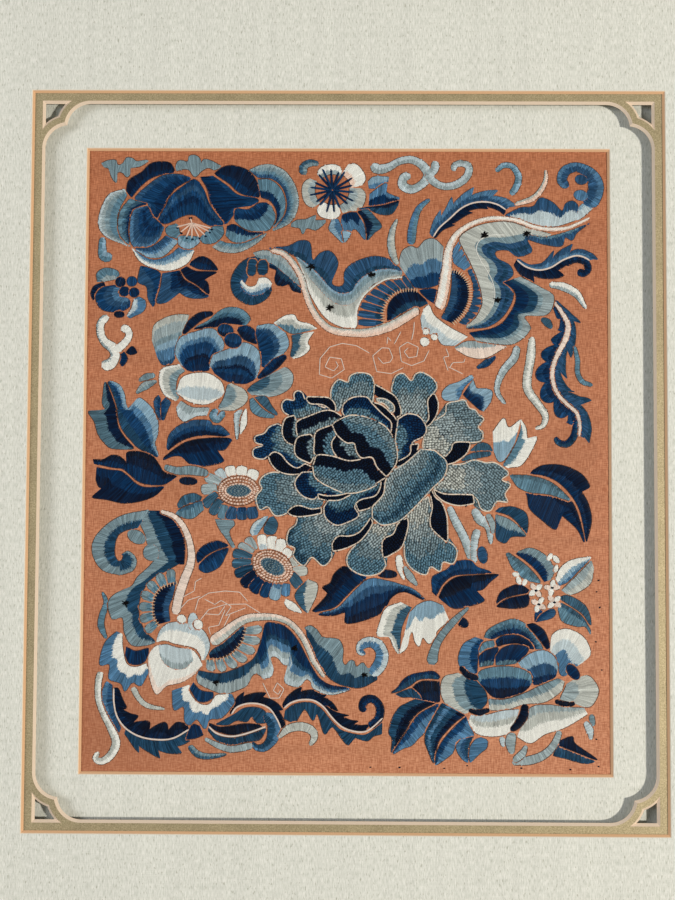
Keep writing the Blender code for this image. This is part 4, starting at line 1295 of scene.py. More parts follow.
# Upper right bat, plumes: toothed feathers on both sides of a couched cream vein, and loose tendrils. The
# teeth are one stitched edge that steps out and back along the vein.
def blade(motif, spine, widths, bands, side=1, teeth=0, cut=0.5, forward=2.0, gap=0.45, rounded=False):
    """One half of a leaf or plume, from its vein to its edge. Its teeth lean towards the vein's end."""
    line = curve(spine, 200)
    share = np.linspace(0, 1, 200)
    rise = np.ones(200)
    if teeth and rounded:
        rise = np.abs(np.sin(pi * share * teeth)) ** 0.7
    elif teeth:
        rise = (share * teeth + 0.15) % 1
    reach = gap + spread(widths, 200) * (1 - cut * (1 - rise))
    outer = beside(line, side * reach) + heading(line) * (forward * rise)[:, None]
    motif.fill(beside(line, side * gap), outer, bands, void=0.4)


plumes = Motif("bat_upper_right_plumes")
VEIN_TOP = charted("170.5,43.5 173.5,39 178.5,34.5 184,29.5 190,26.7 196.5,26.2 202,27.5 206,30")
blade(plumes, VEIN_TOP, [3.6, 6, 6.5, 6.4, 5.6, 4], "blue .5 azure", teeth=5, cut=0.6, forward=4.5)
blade(plumes, VEIN_TOP, [1, 3.6, 4.6, 3.4, 2.8, 1.8], "ink", side=-1, teeth=4, cut=0.5, forward=3.0)
plumes.laid(VEIN_TOP, "shell", 0.9, 0.6)
VEIN_RIGHT = charted("211.5,55 216,58.3 222,59.8 228,58.5 234,54.8 240,52.7 244,53.3 247,55")
blade(plumes, VEIN_RIGHT, [1, 3.5, 7, 5.6, 4.4, 1.5], "azure .4 blue", teeth=4, cut=0.7, forward=4.5)
blade(plumes, VEIN_RIGHT[:6], [5, 6, 6, 6.4, 3, 1], "ink", side=-1, teeth=3, cut=0.65, forward=2.4)
ribbon(plumes, "235,56.5 240,54.7 245,55.9 246.2,59.3 244,61.3 241.3,60.5", [3, 2.2, 2.4, 2.6, 2.6, 3.2],
       "ink .5 navy", void=0.0)
plumes.laid(VEIN_RIGHT, "shell", 0.95, 0.6)
VEIN_LONG = charted("229.5,75.5 233.5,81 236.3,87 235,94 231.5,100.5 229,107 228.6,113 230.5,119.5 235,125 "
                    "240,129.5 241.8,135 241.5,141")
blade(plumes, VEIN_LONG[:11], [1, 3, 4.4, 5.4, 6.4, 7, 7, 6.6, 6.5, 3], "navy .5 indigo", side=-1, teeth=8,
      cut=0.72, forward=1.6, gap=0.9, rounded=True)
blade(plumes, VEIN_LONG, [1, 4, 5.6, 4.6, 7.2, 7.4, 6, 8.4, 8.6, 6, 3.2], "blue .7 deep", teeth=6, cut=0.72,
      forward=4.6, gap=0.9)
ribbon(plumes, "240,134 239,141 235.5,145 231.5,144.3 230,142", [1.5, 2.6, 2.8, 2.6, 1.6], "navy .5 deep",
       void=0.3)
ribbon(plumes, VEIN_LONG, [0.6, 1.3, 1.8, 1.9, 1.6, 1.3, 1.1, 1.1, 1.0, 1.0, 1.0, 0.6], "shell", void=0.3)
ribbon(plumes, "227.5,67 234,68 240.5,71.5 245,78.5", [2, 3.6, 3, 0.8], "mist .4 white")
ribbon(plumes, "223.5,84 226,85.5 228.2,88.3", [1.6, 3.4, 1.4], "mid")
ribbon(plumes, "211.5,97.5 210,103 205,109 202,115.5 202,120.5 205.5,125.3", [2.6, 3.4, 3.2, 2.4, 1.8, 0.8],
       "pale .5 mist")
ribbon(plumes, "191.8,108 196,106 200.5,102.3", [0.6, 3, 1.6], "indigo .5 blue")
ribbon(plumes, "218.8,93 218,103 216.3,113 216.8,119 221,125 225,131 224,136 220.5,137.5",
       [1.8, 3.8, 3.4, 3.6, 3.4, 3.0, 2.4, 0.8], "stone .4 white .8 stone")
ribbon(plumes, "239.5,97.5 240.8,104 240.8,110 243,114.5 247.8,116.3", [0.8, 1.6, 1.8, 1.8, 1.2], "steel")
ribbon(plumes, "225.7,10.5 225.7,15 223.5,20 219,24.5 211,27.3", [0.7, 1.6, 2, 2, 1.2], "stone .4 blush")
ribbon(plumes, "201.5,10.8 205,8 209.5,8.7 212.3,13.5 211.3,18.5 208.7,22.3", [1.4, 2, 2.2, 2.6, 2.6, 2.4],
       "steel .5 sky")
plumes.sew()


# Left flower: a peony of rounded satin petals, shaded from navy at the base to sky or white at the rim,
# with a pale oval petal in front.
peony_left = Motif("peony_left")
for inner, outer, bands in (
    ("36,103.5 38.2,106.7 42,106.6 44.4,103.5", "33.2,95 34,88 38.5,84.6 44.5,82.6 50.8,82.6",
     "blue .1 azure .34 sky .48 slate .6 mist .85 stone"),
    ("54,89.2 63,88.3 70,86.5 76,87", "55,88.3 61,85 66,80.6 71,78.8 77,80 80.8,84 79,87.2",
     "ink .45 mid .7 steel"),
    ("50.5,109.5 55,110.3 61,109.5", "47.5,106.8 44.6,101 47,94 54,91 62.5,89.4 67.5,95 67.5,99.5 62,103.5 "
     "61.3,108", "navy .34 ink .42 indigo .7 azure .8 sky"),
    ("75,90 78,94 84,96.5", "75.5,88.6 80,88 83.5,91 84.3,96", "ink .5 navy"),
    ("84,91.5 85.8,99 87,107.5", "84.5,88 90,87 96,88.5 99.8,96 97,101.5 89,108.5",
     "indigo .5 blue .68 sky"),
    ("80,119.5 82.5,116.8 86,114.5", "82,121.3 92,122.2 100,118.5 102,112.5 98.5,108.3 94,110.8",
     "mid .4 slate .72 mist"),
    ("64,111 70,114.7 78,116 82.5,114.5", "61.6,107 63.5,102.5 71,99.2 78,96.2 84.5,99.5 86,106 84.5,112.5",
     "navy .24 indigo .36 ink .44 blue .68 sky"),
    ("49,110 46,112.5 44.8,117.5 46.3,123.3", "46.5,107 38.5,109 37,115 39.5,121.5 45,124.5",
     "slate .4 stone .8 white"),
    ("47.5,125 53,128 61.3,128.2", "45.5,128 46.5,132 49.5,134.5 55,132 60,131.5", "mist .5 pale"),
    ("66,128 68.5,123.5 70.3,117", "67,129 74,128.8 79.5,124.5 78.5,119.5 72,116.3", "slate .5 stone"),
    ("46,121 52,125 60,126 67,122.5", "45.8,119 48,113.5 54,111.3 61,111.5 67,115.5 68.5,120",
     "white .12 pale .55 white"),
    # leaves round the flower
    ("37.3,123.5 37.2,128 38,134", "36.5,122.2 34.7,124.5 35,128.5 37.5,134.3", "indigo .5 blue"),
    ("38.1,125.5 38.2,129 38.4,134", "40,123.3 42.3,125.5 41,129 39.2,134", "indigo .5 blue"),
    ("84,123 89,128 94,131.5", "85,122.6 89,122.8 91.6,127 94.6,131", "mid"),
    ("82.3,123.3 87.5,128.8 93,132", "81.3,124 82,129 86,132 92.5,132.8", "steel"),
    ("78.3,128.8 76.3,133 75.3,143.6", "75.5,129.5 73.8,132 74.8,143.6", "mist .4 pale"),
    ("79,128.6 77.2,133.5 76.6,140.6", "79.5,129 79.4,136 77,140.3", "white"),
    ("95,87.5 101.5,91.2 109,90", "93,86.3 98,83 102.5,82.5 104.5,85.5 110,87 113.3,88.8",
     "steel .4 stone .75 white"),
    ("101.7,92.4 102,97 101,102.5", "111.8,90.8 109,95.5 110,99 106,102.5 102.5,103.5",
     "mid .45 stone .8 white"),
):
    peony_left.fill(inner, outer, bands)
for centre, length, width, turn, bands in (
    ((69, 90), 7.4, 5.4, 15, "ink .3 indigo"),
    ((72.7, 95), 8, 6.4, 10, "navy .4 indigo"),
):
    oval(peony_left, centre, length, width, turn, bands)
for points, widths, bands in (
    ("48.5,91.5 52.5,86.4 57,83 62.5,81.6", [0.8, 3.4, 3.4, 1.2], "ink"),
    ("85.2,113.3 90,109.5 94,106 98.5,102.5", [0.8, 3.5, 4.2, 1.5], "ink .5 navy"),
    ("64.8,129 63.2,132 65.5,133.8 68.5,130", [2.5, 2.8, 2.5, 2], "steel .5 sky"),
    ("27,114.8 30.5,113 34.5,112.2", [0.8, 2.8, 1.6], "slate"),
    ("25.7,121 29.5,117.7 35.3,115", [0.6, 3.6, 0.8], "slate .5 mist"),
):
    ribbon(peony_left, points, widths, bands)
peony_left.sew()


# Leaves at the left: large satin leaves in two halves, with the ground left bare as the vein.
leaves_left = Motif("leaves_left")
for inner, outer, bands in (
    ("10.8,116 12.3,119.8 14.3,125 15.8,130 16.2,135 17.5,139 20.5,143.4 24.6,147.8",
     "10.2,115.8 9.6,121 9.3,126 10.6,128.8 9.4,131 2.5,130 5.5,135 7.4,141 10.8,145.5 14.5,148 24,148.3",
     "ink .45 dusk"),
    ("11.8,115.6 14.2,120.8 16.5,127.5 17.4,134 19.4,139 23.5,144 28,148.2 36.2,152",
     "13,115.2 17,117 19.6,121.5 20.6,127 22.6,129.2 24.6,126.4 27.3,123.5 33,128.2 36.1,134 36.2,141 "
     "34.9,145.6 36.6,151.2", "deep .25 indigo .55 azure .72 sky"),
    ("5.6,155.3 10.5,156.3 15.5,157.3 19.5,157.8 23,160.6 27,163.8 32,165.3 39,165.4 43,163.6",
     "5.2,153.8 10,153.7 13.5,151.8 17.5,152 22,155.6 21.2,151.2 23,149.8 28,149.9 34,152.2 37.4,156.5 "
     "39.5,159.6 45.6,161.6", "navy .48 ink .8 black"),
    ("6.9,157.6 13,158.8 18.3,159.3 22,161.8 26,165.5 31,167.2 39.4,166.8",
     "6.6,163.5 8.4,167 12.6,167.2 14.4,168 12,169.4 8,169.9 5,171.9 12,172.9 20,174.5 28,173.6 35,171 "
     "39,167.5", "navy .45 ink"),
    ("41.4,148.6 45.5,145.4 50,143 55,141.6 61,141.1 69,141.8",
     "41,147.4 41.8,142.3 44.6,138.6 49.5,135.6 55,134.3 61.6,134.6 63,136.7 67,137.1 71.4,141",
     "ink .32 indigo .6 blue"),
    ("39.2,153 41.8,150.8 46,147.6 50.5,145 56,143.6 63,143 71,142.9",
     "39.4,153.5 43.5,151.7 48,151.8 51.6,155 55.5,156.4 61,156.1 68.4,154 66,150.4 65.6,148.7 69,148.2 "
     "72.4,143.6", "black .2 ink .45 navy"),
):
    leaves_left.fill(inner, outer, bands, void=0.5)
ribbon(leaves_left, "40,157 46,158.8 53,158.6 61,160", [2.2, 3.2, 4, 2.6], "slate")
oval(leaves_left, (51.5, 163.8), 8.5, 3.2, 3, "ink")
leaves_left.sew()


# Chrysanthemums: a flat grey oval ringed with rows of peach knots, and short round petals that pass from
# white at the top through grey to blue at the bottom.
def petal(motif, base, tip, width, bands):
    """A short petal with a round end."""
    base, tip = np.array(base, float), np.array(tip, float)
    ahead = tip - base
    across = np.array([-ahead[1], ahead[0]]) / np.linalg.norm(ahead) * width / 2
    near = np.stack([base - 0.75 * across, base + 0.75 * across])
    far = np.array([base + 0.5 * ahead - across, base + 0.88 * ahead - 0.9 * across, tip - 0.45 * across,
                   tip + 0.45 * across, base + 0.88 * ahead + 0.9 * across, base + 0.5 * ahead + across])
    motif.fill(curve(near), curve(far), bands, void=0.5)


chrysanthemums = Motif("chrysanthemums")
for base, tip, width, bands in (
    ((72.4, 162), (71.6, 156.7), 5, "white"), ((77.4, 161.6), (77.6, 156.7), 5, "white"),
    ((82.4, 162.8), (83.4, 158.4), 5.2, "white"), ((68.8, 163), (66, 158.3), 4.2, "pale"),
    ((67.2, 164.6), (60.2, 161.6), 4.6, "mist"), ((65.2, 167.2), (58.2, 168), 4.8, "mist"),
    ((65.6, 170.4), (59.6, 175.6), 4.8, "mid"), ((67.2, 173.2), (63, 179.6), 4.2, "mid"),
    ((69.4, 175.8), (67.8, 181.8), 4.2, "steel"), ((73.8, 176.8), (72, 182.2), 5, "blue"),
    ((77.8, 176.8), (77.8, 182.2), 4.8, "indigo .4 blue"), ((82.4, 176.6), (83.2, 181.6), 5.2, "blue"),
    ((84, 197), (80.6, 191.4), 4.2, "mist"), ((88.4, 196.6), (87.4, 190), 4.4, "pale .4 white"),
    ((93, 198), (92.4, 190.6), 4.8, "white"), ((96.4, 199), (97, 192), 4.6, "white"),
    ((98.4, 200.6), (101, 197), 4.2, "white"), ((83, 198.4), (76.6, 194.8), 4, "mist"),
    ((82.2, 201.2), (74, 198.4), 4.8, "mid"), ((82.2, 203.4), (73.6, 203.8), 4.4, "mid"),
    ((83.4, 206), (75, 208.8), 4.6, "deep"), ((85.4, 208.4), (78.4, 214), 5.4, "ink"),
    ((88.4, 210.8), (83.2, 217), 6, "navy"), ((91.6, 212.4), (88.4, 219.4), 4.6, "indigo"),
    ((95.6, 213.6), (93.4, 220.8), 5.2, "azure .3 sky"), ((99.6, 213.6), (99, 219), 4, "azure"),
    ((101.6, 201.4), (104.4, 204.8), 3, "stone"), ((103, 207.4), (109.4, 207), 4.4, "stone"),
    ((102, 209), (106.2, 214.8), 4.8, "mid"),
):
    petal(chrysanthemums, base, tip, width, bands)
for inner, outer, bands in (
    ("47,176.8 51.5,174.8 57.5,172.8", "46.4,175.5 49,171.5 54,170 58,171.6", "mid"),
    ("47,178 52,175.8 58,173.7", "46,179.5 49,181.4 54,181.6 59,177.5", "mid .3 steel"),
    ("65,182.5 67,187 70,191 73.5,196", "73.5,183 74,185 71.5,188 72.5,192 74.3,195.5", "slate"),
    ("90.5,181 88,185 85,189.5", "89,181 84,184 82,188 83,190", "sky .6 pale"),
    ("91.4,181.5 88.8,186 88.8,188.5", "93,181 95,184.5 93.5,189 90,189.5", "mid"),
    ("57,203 60.5,199.6 65,197.1 71,195.2", "56.5,203.2 56.3,199 60,195 66,193 71,194.8", "navy"),
    ("57.4,204.5 61,201 65.4,198.3 71,196.4", "57.2,206.5 61,208 67,205 70,199.5 71.3,196.8",
     "navy .3 indigo"),
    ("99.5,221 103.5,223 107,227", "98.8,222.5 101,225.3 106.5,227.2", "white"),
    ("109,212.5 105.5,216 104,219.5 106.5,224 109.5,227", "110,211.5 114.3,213.5 113.8,219 111.8,223.5 "
     "110,227", "mid .4 stone"),
):
    chrysanthemums.fill(inner, outer, bands)
for centre, turn, heart, rim in (((76, 168.4), 0, (6.0, 2.8), (9.8, 7)),
                                 ((92.9, 205.1), 27, (6.2, 3.5), (10, 7.2))):
    oval(chrysanthemums, centre, 2 * rim[0], 2 * rim[1], turn, "tan", void=0.3)
    oval(chrysanthemums, centre, 2 * heart[0], 2 * heart[1], turn, "mid", void=0.0)
    for first, last, rows, spacing, colour, tone in (
        (0.08, 0.92, 4, 1.0, "slate", 0.9),
        (1.12, 1.86, 3, 1.3, "blush", 1.1),
    ):
        for row, share in enumerate(np.linspace(first, last, rows)):
            across = np.interp(share, (0, 1, 2), (0, heart[0], rim[0]))
            down = np.interp(share, (0, 1, 2), (0, heart[1], rim[1]))
            count = max(round(2 * pi * sqrt((across**2 + down**2) / 2) / spacing), 4)
            angle = (np.arange(count) + 0.5 * (row % 2)) * 2 * pi / count
            dots = np.stack([np.cos(angle) * across, np.sin(angle) * down], 1)
            dots = turned(dots, radians(turn)) + centre
            dye = floss_colours[colour] * dice.normal(tone, 0.1, (count, 1))
            chrysanthemums.loops(dots + dice.normal(0, 0.08, dots.shape), dye, 0.55 * spacing, 0.7)
chrysanthemums.sew()


# Lower left bat: a left wing that curls over at the top, a right wing with a curled tip, white ribs, a
# pear-shaped white body with two knobs, and two fan-shaped tails.
bat_lower = Motif("bat_lower_left")
bat_lower.fill("38.5,178.6 44.5,182 48.3,188 49.9,195 49.6,204",
               "30,178.4 28.5,184 31,189.5 32.5,195 37,200 39,204.5", "ink .36 deep .7 slate", wave=0.02)
bat_lower.fill("27,186.5 21,187.8 17.3,190.5 16,195 16,200 18,203 20.5,202",
               "32,178.2 20,180.8 11.5,186 6,193 5.8,200 10.5,207 19,209.3", "deep .45 slate", void=0.0)
bat_lower.fill("18.6,203 20,202.4 20.3,200", "19,209.3 25,207 26.4,202 22.8,198.2 19.8,199.6",
               "deep .72 slate", void=0.0)
oval(bat_lower, (26.6, 191), 9, 5.6, 28, "slate", void=0.0)
oval(bat_lower, (33.8, 198.6), 7.6, 7, 70, "slate", void=0.0)
bat_lower.fill("47,204 41,207.4 35,210.5 30.5,216 28,223 28.5,231 31.5,237 36,241.3",
               "36.5,201.5 32.5,206 27.5,210.5 24.5,215 17,218.5 13.5,223 15.5,230.5 20.5,230 21.5,237 "
               "25,243 31,243.3 36,242", "deep .45 slate", void=0.0)
feathers(bat_lower, "46,213 40,214.8 36.4,218.4 34.8,224 35,229.5 37.5,234.5",
         "46.4,206.3 38.5,208.6 31.5,214.8 28.8,223 29.3,231.5 33.6,239", 7, "steel .5 slate")
bat_lower.fill("45.5,213.5 44.5,219 42.5,225 43,231.5", "44,213.8 39,216.3 36,221 35.8,228 38,232.8",
               "blue .38 ink")
# right wing
bat_lower.fill("57.6,255.6 62,256.4 68,256.9 74,255.2 80,252.6 84,249.6 86.8,244.5",
               "56.6,258.5 58,261.5 64,264.4 70,266.2 76,264.5 80.8,262 83.2,257.6 85.6,256.4 89.4,259.2",
               "deep .5 mist")
bat_lower.fill("86,246 88,240 89.6,233 93,232.4 97,233.2 101,235.7 104,239.2 106.8,243.6 109.4,248.6 "
               "112,253.6 116,259.2 122,262.4 131,263.4", "88.6,258.8 92.2,257.8 93.4,254.4 91.6,250.8 "
               "92.8,248.2 95.6,248.8 98.6,252 102.6,252.4 99.6,257 99.6,260.8 105.5,262.6 109.4,259 "
               "112,260.4 113,263.2 121,266.3 131,264", "navy .36 deep .48 azure .68 mist .84 pale",
               void=0.0)
bat_lower.fill("109.4,235.5 110.4,241 112.4,246 115,251 118.5,256 123,260 129,262.2 136,262.8 143.5,259",
               "108.8,234.6 111.5,233.7 114.6,236 117.4,239.2 124.6,240.2 127,244.5 126.8,250.4 128.2,252.6 "
               "130.4,250.4 132.4,250.6 133.6,253.4 136.8,251.2 139,254 143,252", "deep .5 slate")
ribbon(bat_lower, "141,256.6 144.8,252.2 146,247 143.8,242.6 139.6,241.2 136,242.8 135.4,245.6 137.6,247",
       [5, 5.6, 5.6, 5.2, 4.8, 4.2, 3.6, 1], "pale .42 azure", void=0.0)
bat_lower.fill("79,234.3 74.5,236.6 71,240.2 66,244.2 62.4,247",
               "79.5,236.6 77.8,241 74,245.4 69,248.5 63,249", "deep .42 ink")
feathers(bat_lower, "80.6,234 79,241 74,247.2 67,250.3 61,250.5",
         "88,232.5 86,243 79.5,251 70,255.3 60.5,254.8", 7, "slate .5 mist")
ribbon(bat_lower, "38.5,178.6 45.5,181.4 50.5,188 53.2,197 53,204 50,212 47.5,220 46,228",
       [1.0, 1.8, 2.2, 2.6, 3.2, 3.6, 3.8, 3.6], "shell")
ribbon(bat_lower, "63.6,241.8 68,238.8 72,235.6 77,231.9 82,229.9 90,229.3 96,229.9 101,232 105,235.6 "
       "108.4,240.4 110.8,245.4 113,250.4 118,258",
       [5, 4.6, 4, 3.4, 2.8, 2.6, 2.2, 2.1, 2.1, 2.1, 2, 1.8, 0.8], "stone .5 shell")
# body, knobs and tails
bat_lower.fill("37.2,241.4 41,240.7 45,242 50,243.1 55,244.2 58,247 59,250",
               "37.4,240 38.6,236.6 41.4,233.6 46,232.3 52,233.2 58.6,235.6 61.8,240 62.4,245 60,250",
               "white .62 pale")
oval(bat_lower, (54.4, 231.6), 7.6, 4.2, 92, "pale", void=0.0)
bat_lower.fill("34.4,246.4 36.8,243.8 42,243.2 47,244.7 53,245.2 56.6,248 58.8,252",
               "33.2,249 33.4,255 34.6,261 37.4,266.6 42,262.6 49,260.8 54.6,257.4 58.9,252.8",
               "white .86 shell")
bat_lower.fill("38.2,243.6 42,243.1 47,244.6 53.4,245.4", "39,248.5 41.6,252.2 45.6,254.2 50.6,254 "
               "54.6,250.4", "pale .75 mist", void=0.0)
oval(bat_lower, (49, 230.5), 4, 3.4, 20, "white")
oval(bat_lower, (57, 233.2), 4.2, 3.8, 60, "white")
for inner, outer, bands in (
    ("20,238 20.5,245 22.5,252.3 27,254 32.2,252.2", "17.5,237 12,242.5 9.7,252.5 14.5,252.5 14.3,259.3 "
     "20,261.5 22,265.3 25.5,261 29.5,262.5 33,256.5", "white .45 azure"),
    ("22.5,244.5 27,246.3 33,244.8", "22,248 24,251.8 28.5,252.3 31.5,250.5 33,247", "navy"),
    ("52.8,262.5 54,267.5 58.5,271.6 63,271.5 66,267.5 71,266.7",
     "45,265 45.8,274 50.5,272.5 51,279 53.3,281.2 57,278.5 60.8,283 63,278.5 69,277.5 74.5,270.5 "
     "73.5,266.8", "white .42 azure"),
    ("55,261.5 58.5,265 64.5,266", "53.5,264 57.5,269.8 62.5,269.5 64.6,267.5", "indigo"),
):
    bat_lower.fill(inner, outer, bands)
ticks(bat_lower, "46.4,213.2 40,215 36.2,218.8 34.9,224 35.2,229.5 37.8,234", 19, 2.2)
ticks(bat_lower, "80,234.5 78.3,241 73.4,247.4 67,250 61,250.4", 17, 2.2)
for centre in ((22, 223), (104, 244.5), (66, 261), (137.5, 257)):
    tuft(bat_lower, centre, 1.2)
bat_lower.sew()


# Bottom left plumes: black and blue feathers on couched cream ribs, pale crescents, and long tendrils.
low_plumes = Motif("plumes_lower_left")
RIB_LEFT = charted("16.5,264 16.7,271 18.5,278 23,283.5 30,287.2 39,288.5 46,287.5 53,283.5")
blade(low_plumes, RIB_LEFT, [3.4, 5.5, 8.6, 8, 7.6, 8, 6.5, 2], "ink .4 black", teeth=5, cut=0.6,
      forward=2.6, rounded=True)
low_plumes.fill("15.5,262.5 15.7,270 17.3,277 20,283", "13,261 10.6,268 11.5,275 14,280.5 18,288.5",
                "blue .5 azure")
blade(low_plumes, RIB_LEFT[3:], [3, 7, 8, 7, 3], "deep", side=-1, teeth=4, cut=0.6, forward=3.0, gap=0.8)
low_plumes.fill("53,284.5 55,281.3 58,282", "52,288 56,287.5 59.8,286", "navy")
low_plumes.laid(RIB_LEFT, "shell", 0.9, 0.6)
RIB_ARCH = charted("73.5,276 76,272.8 81,271 87,271.2 92,273.5 95.5,278.5 97.3,282.5")
blade(low_plumes, RIB_ARCH, [1, 5, 5.4, 4.4, 3.4, 1], "black", teeth=4, cut=0.5, forward=3.0)
low_plumes.fill("74.5,276.5 80,273.2 87,273.3 91.5,276.5", "66,281 72,281 76,279 81,279.5 83,277 86,280 "
                "90,280", "deep")
ribbon(low_plumes, "90,276 93.8,281 93.5,287 90,291.5 86,292 83.8,289.8", [4, 5, 6, 4, 3, 0.8],
       "deep .6 azure", void=0.0)
low_plumes.laid(RIB_ARCH, "shell", 0.9, 0.6)
RIB_LOW = charted("62.5,282 66.5,285.3 73,286.7 80,285.5 90,282")
low_plumes.fill("63,281.6 67.5,284.4 74,285.7 80,284.4 88,282",
                "63,280.7 68,282.5 74,281.8 80,280.8 87,281.2", "black")
low_plumes.fill("62.5,283 66.5,286.3 73,287.7 80,286.6 90,283",
                "62.5,284 67,288.7 74,290.5 81,289 87,288 90,283.4", "deep")
low_plumes.laid(RIB_LOW, "shell", 0.9, 0.6)
RIB_RIGHT = charted("98.8,273 102,270.5 107,269 113,269.3 118,272.5 122,277.5 127,282 133,284 138,284 "
                    "142,281.5 146.3,277.5")
blade(low_plumes, RIB_RIGHT[:6], [1.5, 5, 5.2, 5, 5, 2], "ink .5 black", teeth=3, cut=0.45, forward=3.0)
blade(low_plumes, RIB_RIGHT[4:9], [1, 6, 6, 4, 2], "black", teeth=3, cut=0.55, forward=4.0)
low_plumes.fill("99.5,274.5 103,271.8 108,270.5 113,271 117,273.8 121,278.5 126,283.3 133,285.5 139,285.3 "
                "146,280", "99,278 104,279.8 106,277 109,273.5 112.8,278.8 115,275.5 118.5,285.3 122,281.5 "
                "129.5,290.3 132,286.8 139,288.3 142,286 145.8,285", "deep")
ribbon(low_plumes, "140,281.5 144.3,278 145,272.5 142,268.7 138,269 136.5,272.5 138,274",
       [3, 3.2, 3.4, 3, 3, 3.5, 2], "ink .5 navy", void=0.2)
low_plumes.laid(RIB_RIGHT, "shell", 0.9, 0.6)
for points, widths, bands in (
    ("26,263.8 28.5,268.5 33,272.3 41,273.8", [2.2, 1.8, 1.6, 0.6], "stone"),
    ("61,288 67,291 74,292.8 83.3,291", [1, 2.2, 2.6, 2.6], "mist"),
    ("53.5,291.5 57.5,295.3 63,296.3 71,295.3", [2, 2.6, 1.8, 0.6], "mid .5 slate"),
    ("96.5,287 101,283 107,281.8 112,283.5 113.5,287 111.5,290.5", [0.8, 3, 3.4, 3.6, 3, 1.2], "stone"),
    ("10,256.5 9,262 9.3,270 12,277 15.5,283.5 18,290 15.5,296 11,299 8,297.5 9.5,294.8",
     [2.6, 2.4, 2.2, 2, 2.2, 3, 3.4, 3.2, 2.6, 1], "stone .5 white"),
    ("10.5,218 12.3,223 10.5,229 10,234 12.5,240", [0.6, 1.8, 2.4, 2.6, 0.8], "steel"),
):
    ribbon(low_plumes, points, widths, bands)
low_plumes.sew()


# Stems below the middle: two large dark leaves on each side, a pair of hanging buds with white fringes,
# and small blades.
below = Motif("leaves_and_buds_below")
for inner, outer, bands in (
    ("138.5,210.3 133,214.3 128,219.2 122.5,224.4 113,226.8", "131,206.8 127.5,205 123,208.5 121,213 "
     "117.3,215.2 119.5,218.5 112.3,226.6", "navy .45 ink .7 black"),
    ("115.5,228.2 122,228.4 128.3,227 128.5,232 138,230.3 146.5,226 150.5,219.5 157,216.8 166.5,221",
     "116,227.6 124,225.4 129,220.6 134,215.4 140,211 148,211.8 155,213.7 161,216 167,221",
     "ink .25 navy .58 blue .8 azure"),
    ("172,218.5 175,213 180,209 188,208 198.5,207.6", "170.5,217 170.5,210 177,206.5 181.5,202.5 188.5,202 "
     "192,205 198.5,207.2", "navy .4 indigo"),
    ("173.5,219.5 176.5,214 182,210 190,209.1 201.5,208.4", "175,221 180.5,224.6 188,223.5 195.3,220.6 "
     "188.5,217 194.5,215.3 198,211.8 202,208.6", "black .45 navy"),
    ("159.8,224.5 157,229.5 154.8,236 154.3,246", "155,222.2 148,225 145,232 144,238 149.3,238.5 151.5,243 "
     "153.8,246.5", "mid .4 stone .75 white"),
    ("159.5,227 163.5,223.2 169,221.5 175,223.5", "154.6,246.5 157.8,243.8 158.8,239 160.6,235.8 "
     "161.8,240.6 164,242.8 165.6,238.6 168.4,241.6 171.4,239.6 172.4,235.6 178,230.5", "sky .42 white"),
):
    below.fill(inner, outer, bands)
oval(below, (148, 208.3), 10, 3.4, 4, "ink")
oval(below, (184.8, 231.5), 6, 3.8, 35, "ink")
ribbon(below, "154,199.5 154.5,204.5 156.5,210.8", [2.6, 2.8, 0.8], "white")
ribbon(below, "156.8,205 159,209 162.8,213.8", [1.2, 3.2, 0.6], "mist")
ribbon(below, "187.5,224.5 182.5,229 177.4,234.5 172.8,241 170.7,247 170,251.5",
       [0.6, 2.2, 2.8, 2.8, 3.4, 5.2], "slate")
below.sew()


# Right of the middle: a bow-shaped bud, a tall bud with spiky white tips, two pairs of leaves and a pale
# forked stem.
right_leaves = Motif("buds_and_leaves_right")
for inner, outer, bands in (
    ("190,113 185.5,117.5 183,123", "189.3,111.7 183,115 178,116.8 175,120.5 176.5,123.8 182,123.8",
     "azure .3 sky"),
    ("185.3,121 189.5,125 193.5,128.6", "190,114 191.5,118 195.5,118.3 199,119.6 198.3,124.5 195,129",
     "navy .4 blue .55 sky"),
    ("188.8,148.3 194,148.9 199,148.6", "189.5,147.6 193,144.9 197,145.4 199.2,148.2", "mid"),
    ("200.2,149 202.5,153.5 206,151.8 209.8,145", "199.8,139 204.8,132.8 207.3,137.3 212.8,133.5",
     "sky .48 white"),
    ("204.8,155.5 208.5,149.5 212,142.5 213.5,137", "207,156.6 214,154.5 220.8,142.3 216.3,142.5 "
     "215.5,137.5 213.3,133.5", "steel .42 white"),
    ("208,160.5 216,160.6 224,162.3 230,165.5 236,171 240,178 243.8,192",
     "208.5,161.5 212,166 216,169.5 217.3,176 223,181.5 230,186.3 231.3,179 236.5,182.5 241,187 243.5,192.5",
     "ink .3 navy"),
    ("208,160.5 216,160.6 224,162.3 230,165.5 236.5,171.5", "208.5,161.5 212,166 218,168.4 227,169.4 "
     "236.5,172.4", "dusk .25 steel"),
    ("218,159.3 225,160.3 231.5,163.5 237.5,169.5 241.5,176.5 243.5,184 244.3,190",
     "219,158 224,155.6 233,155.6 242,159.5 246.3,165.8 242.3,167.3 245.5,174 247,182 244.8,192",
     "navy .4 ink"),
    ("201,177.8 207,179.5 211.5,183 215,188.2", "203,176.2 209,175.8 215,178.5 216.4,183.5 215.8,188",
     "deep"),
    ("201,179.8 206,181.3 210.5,184.3 215.3,189.3", "200.8,186 201.5,191 205.5,193 208.5,190 215,189.8",
     "slate .4 deep"),
):
    right_leaves.fill(inner, outer, bands)
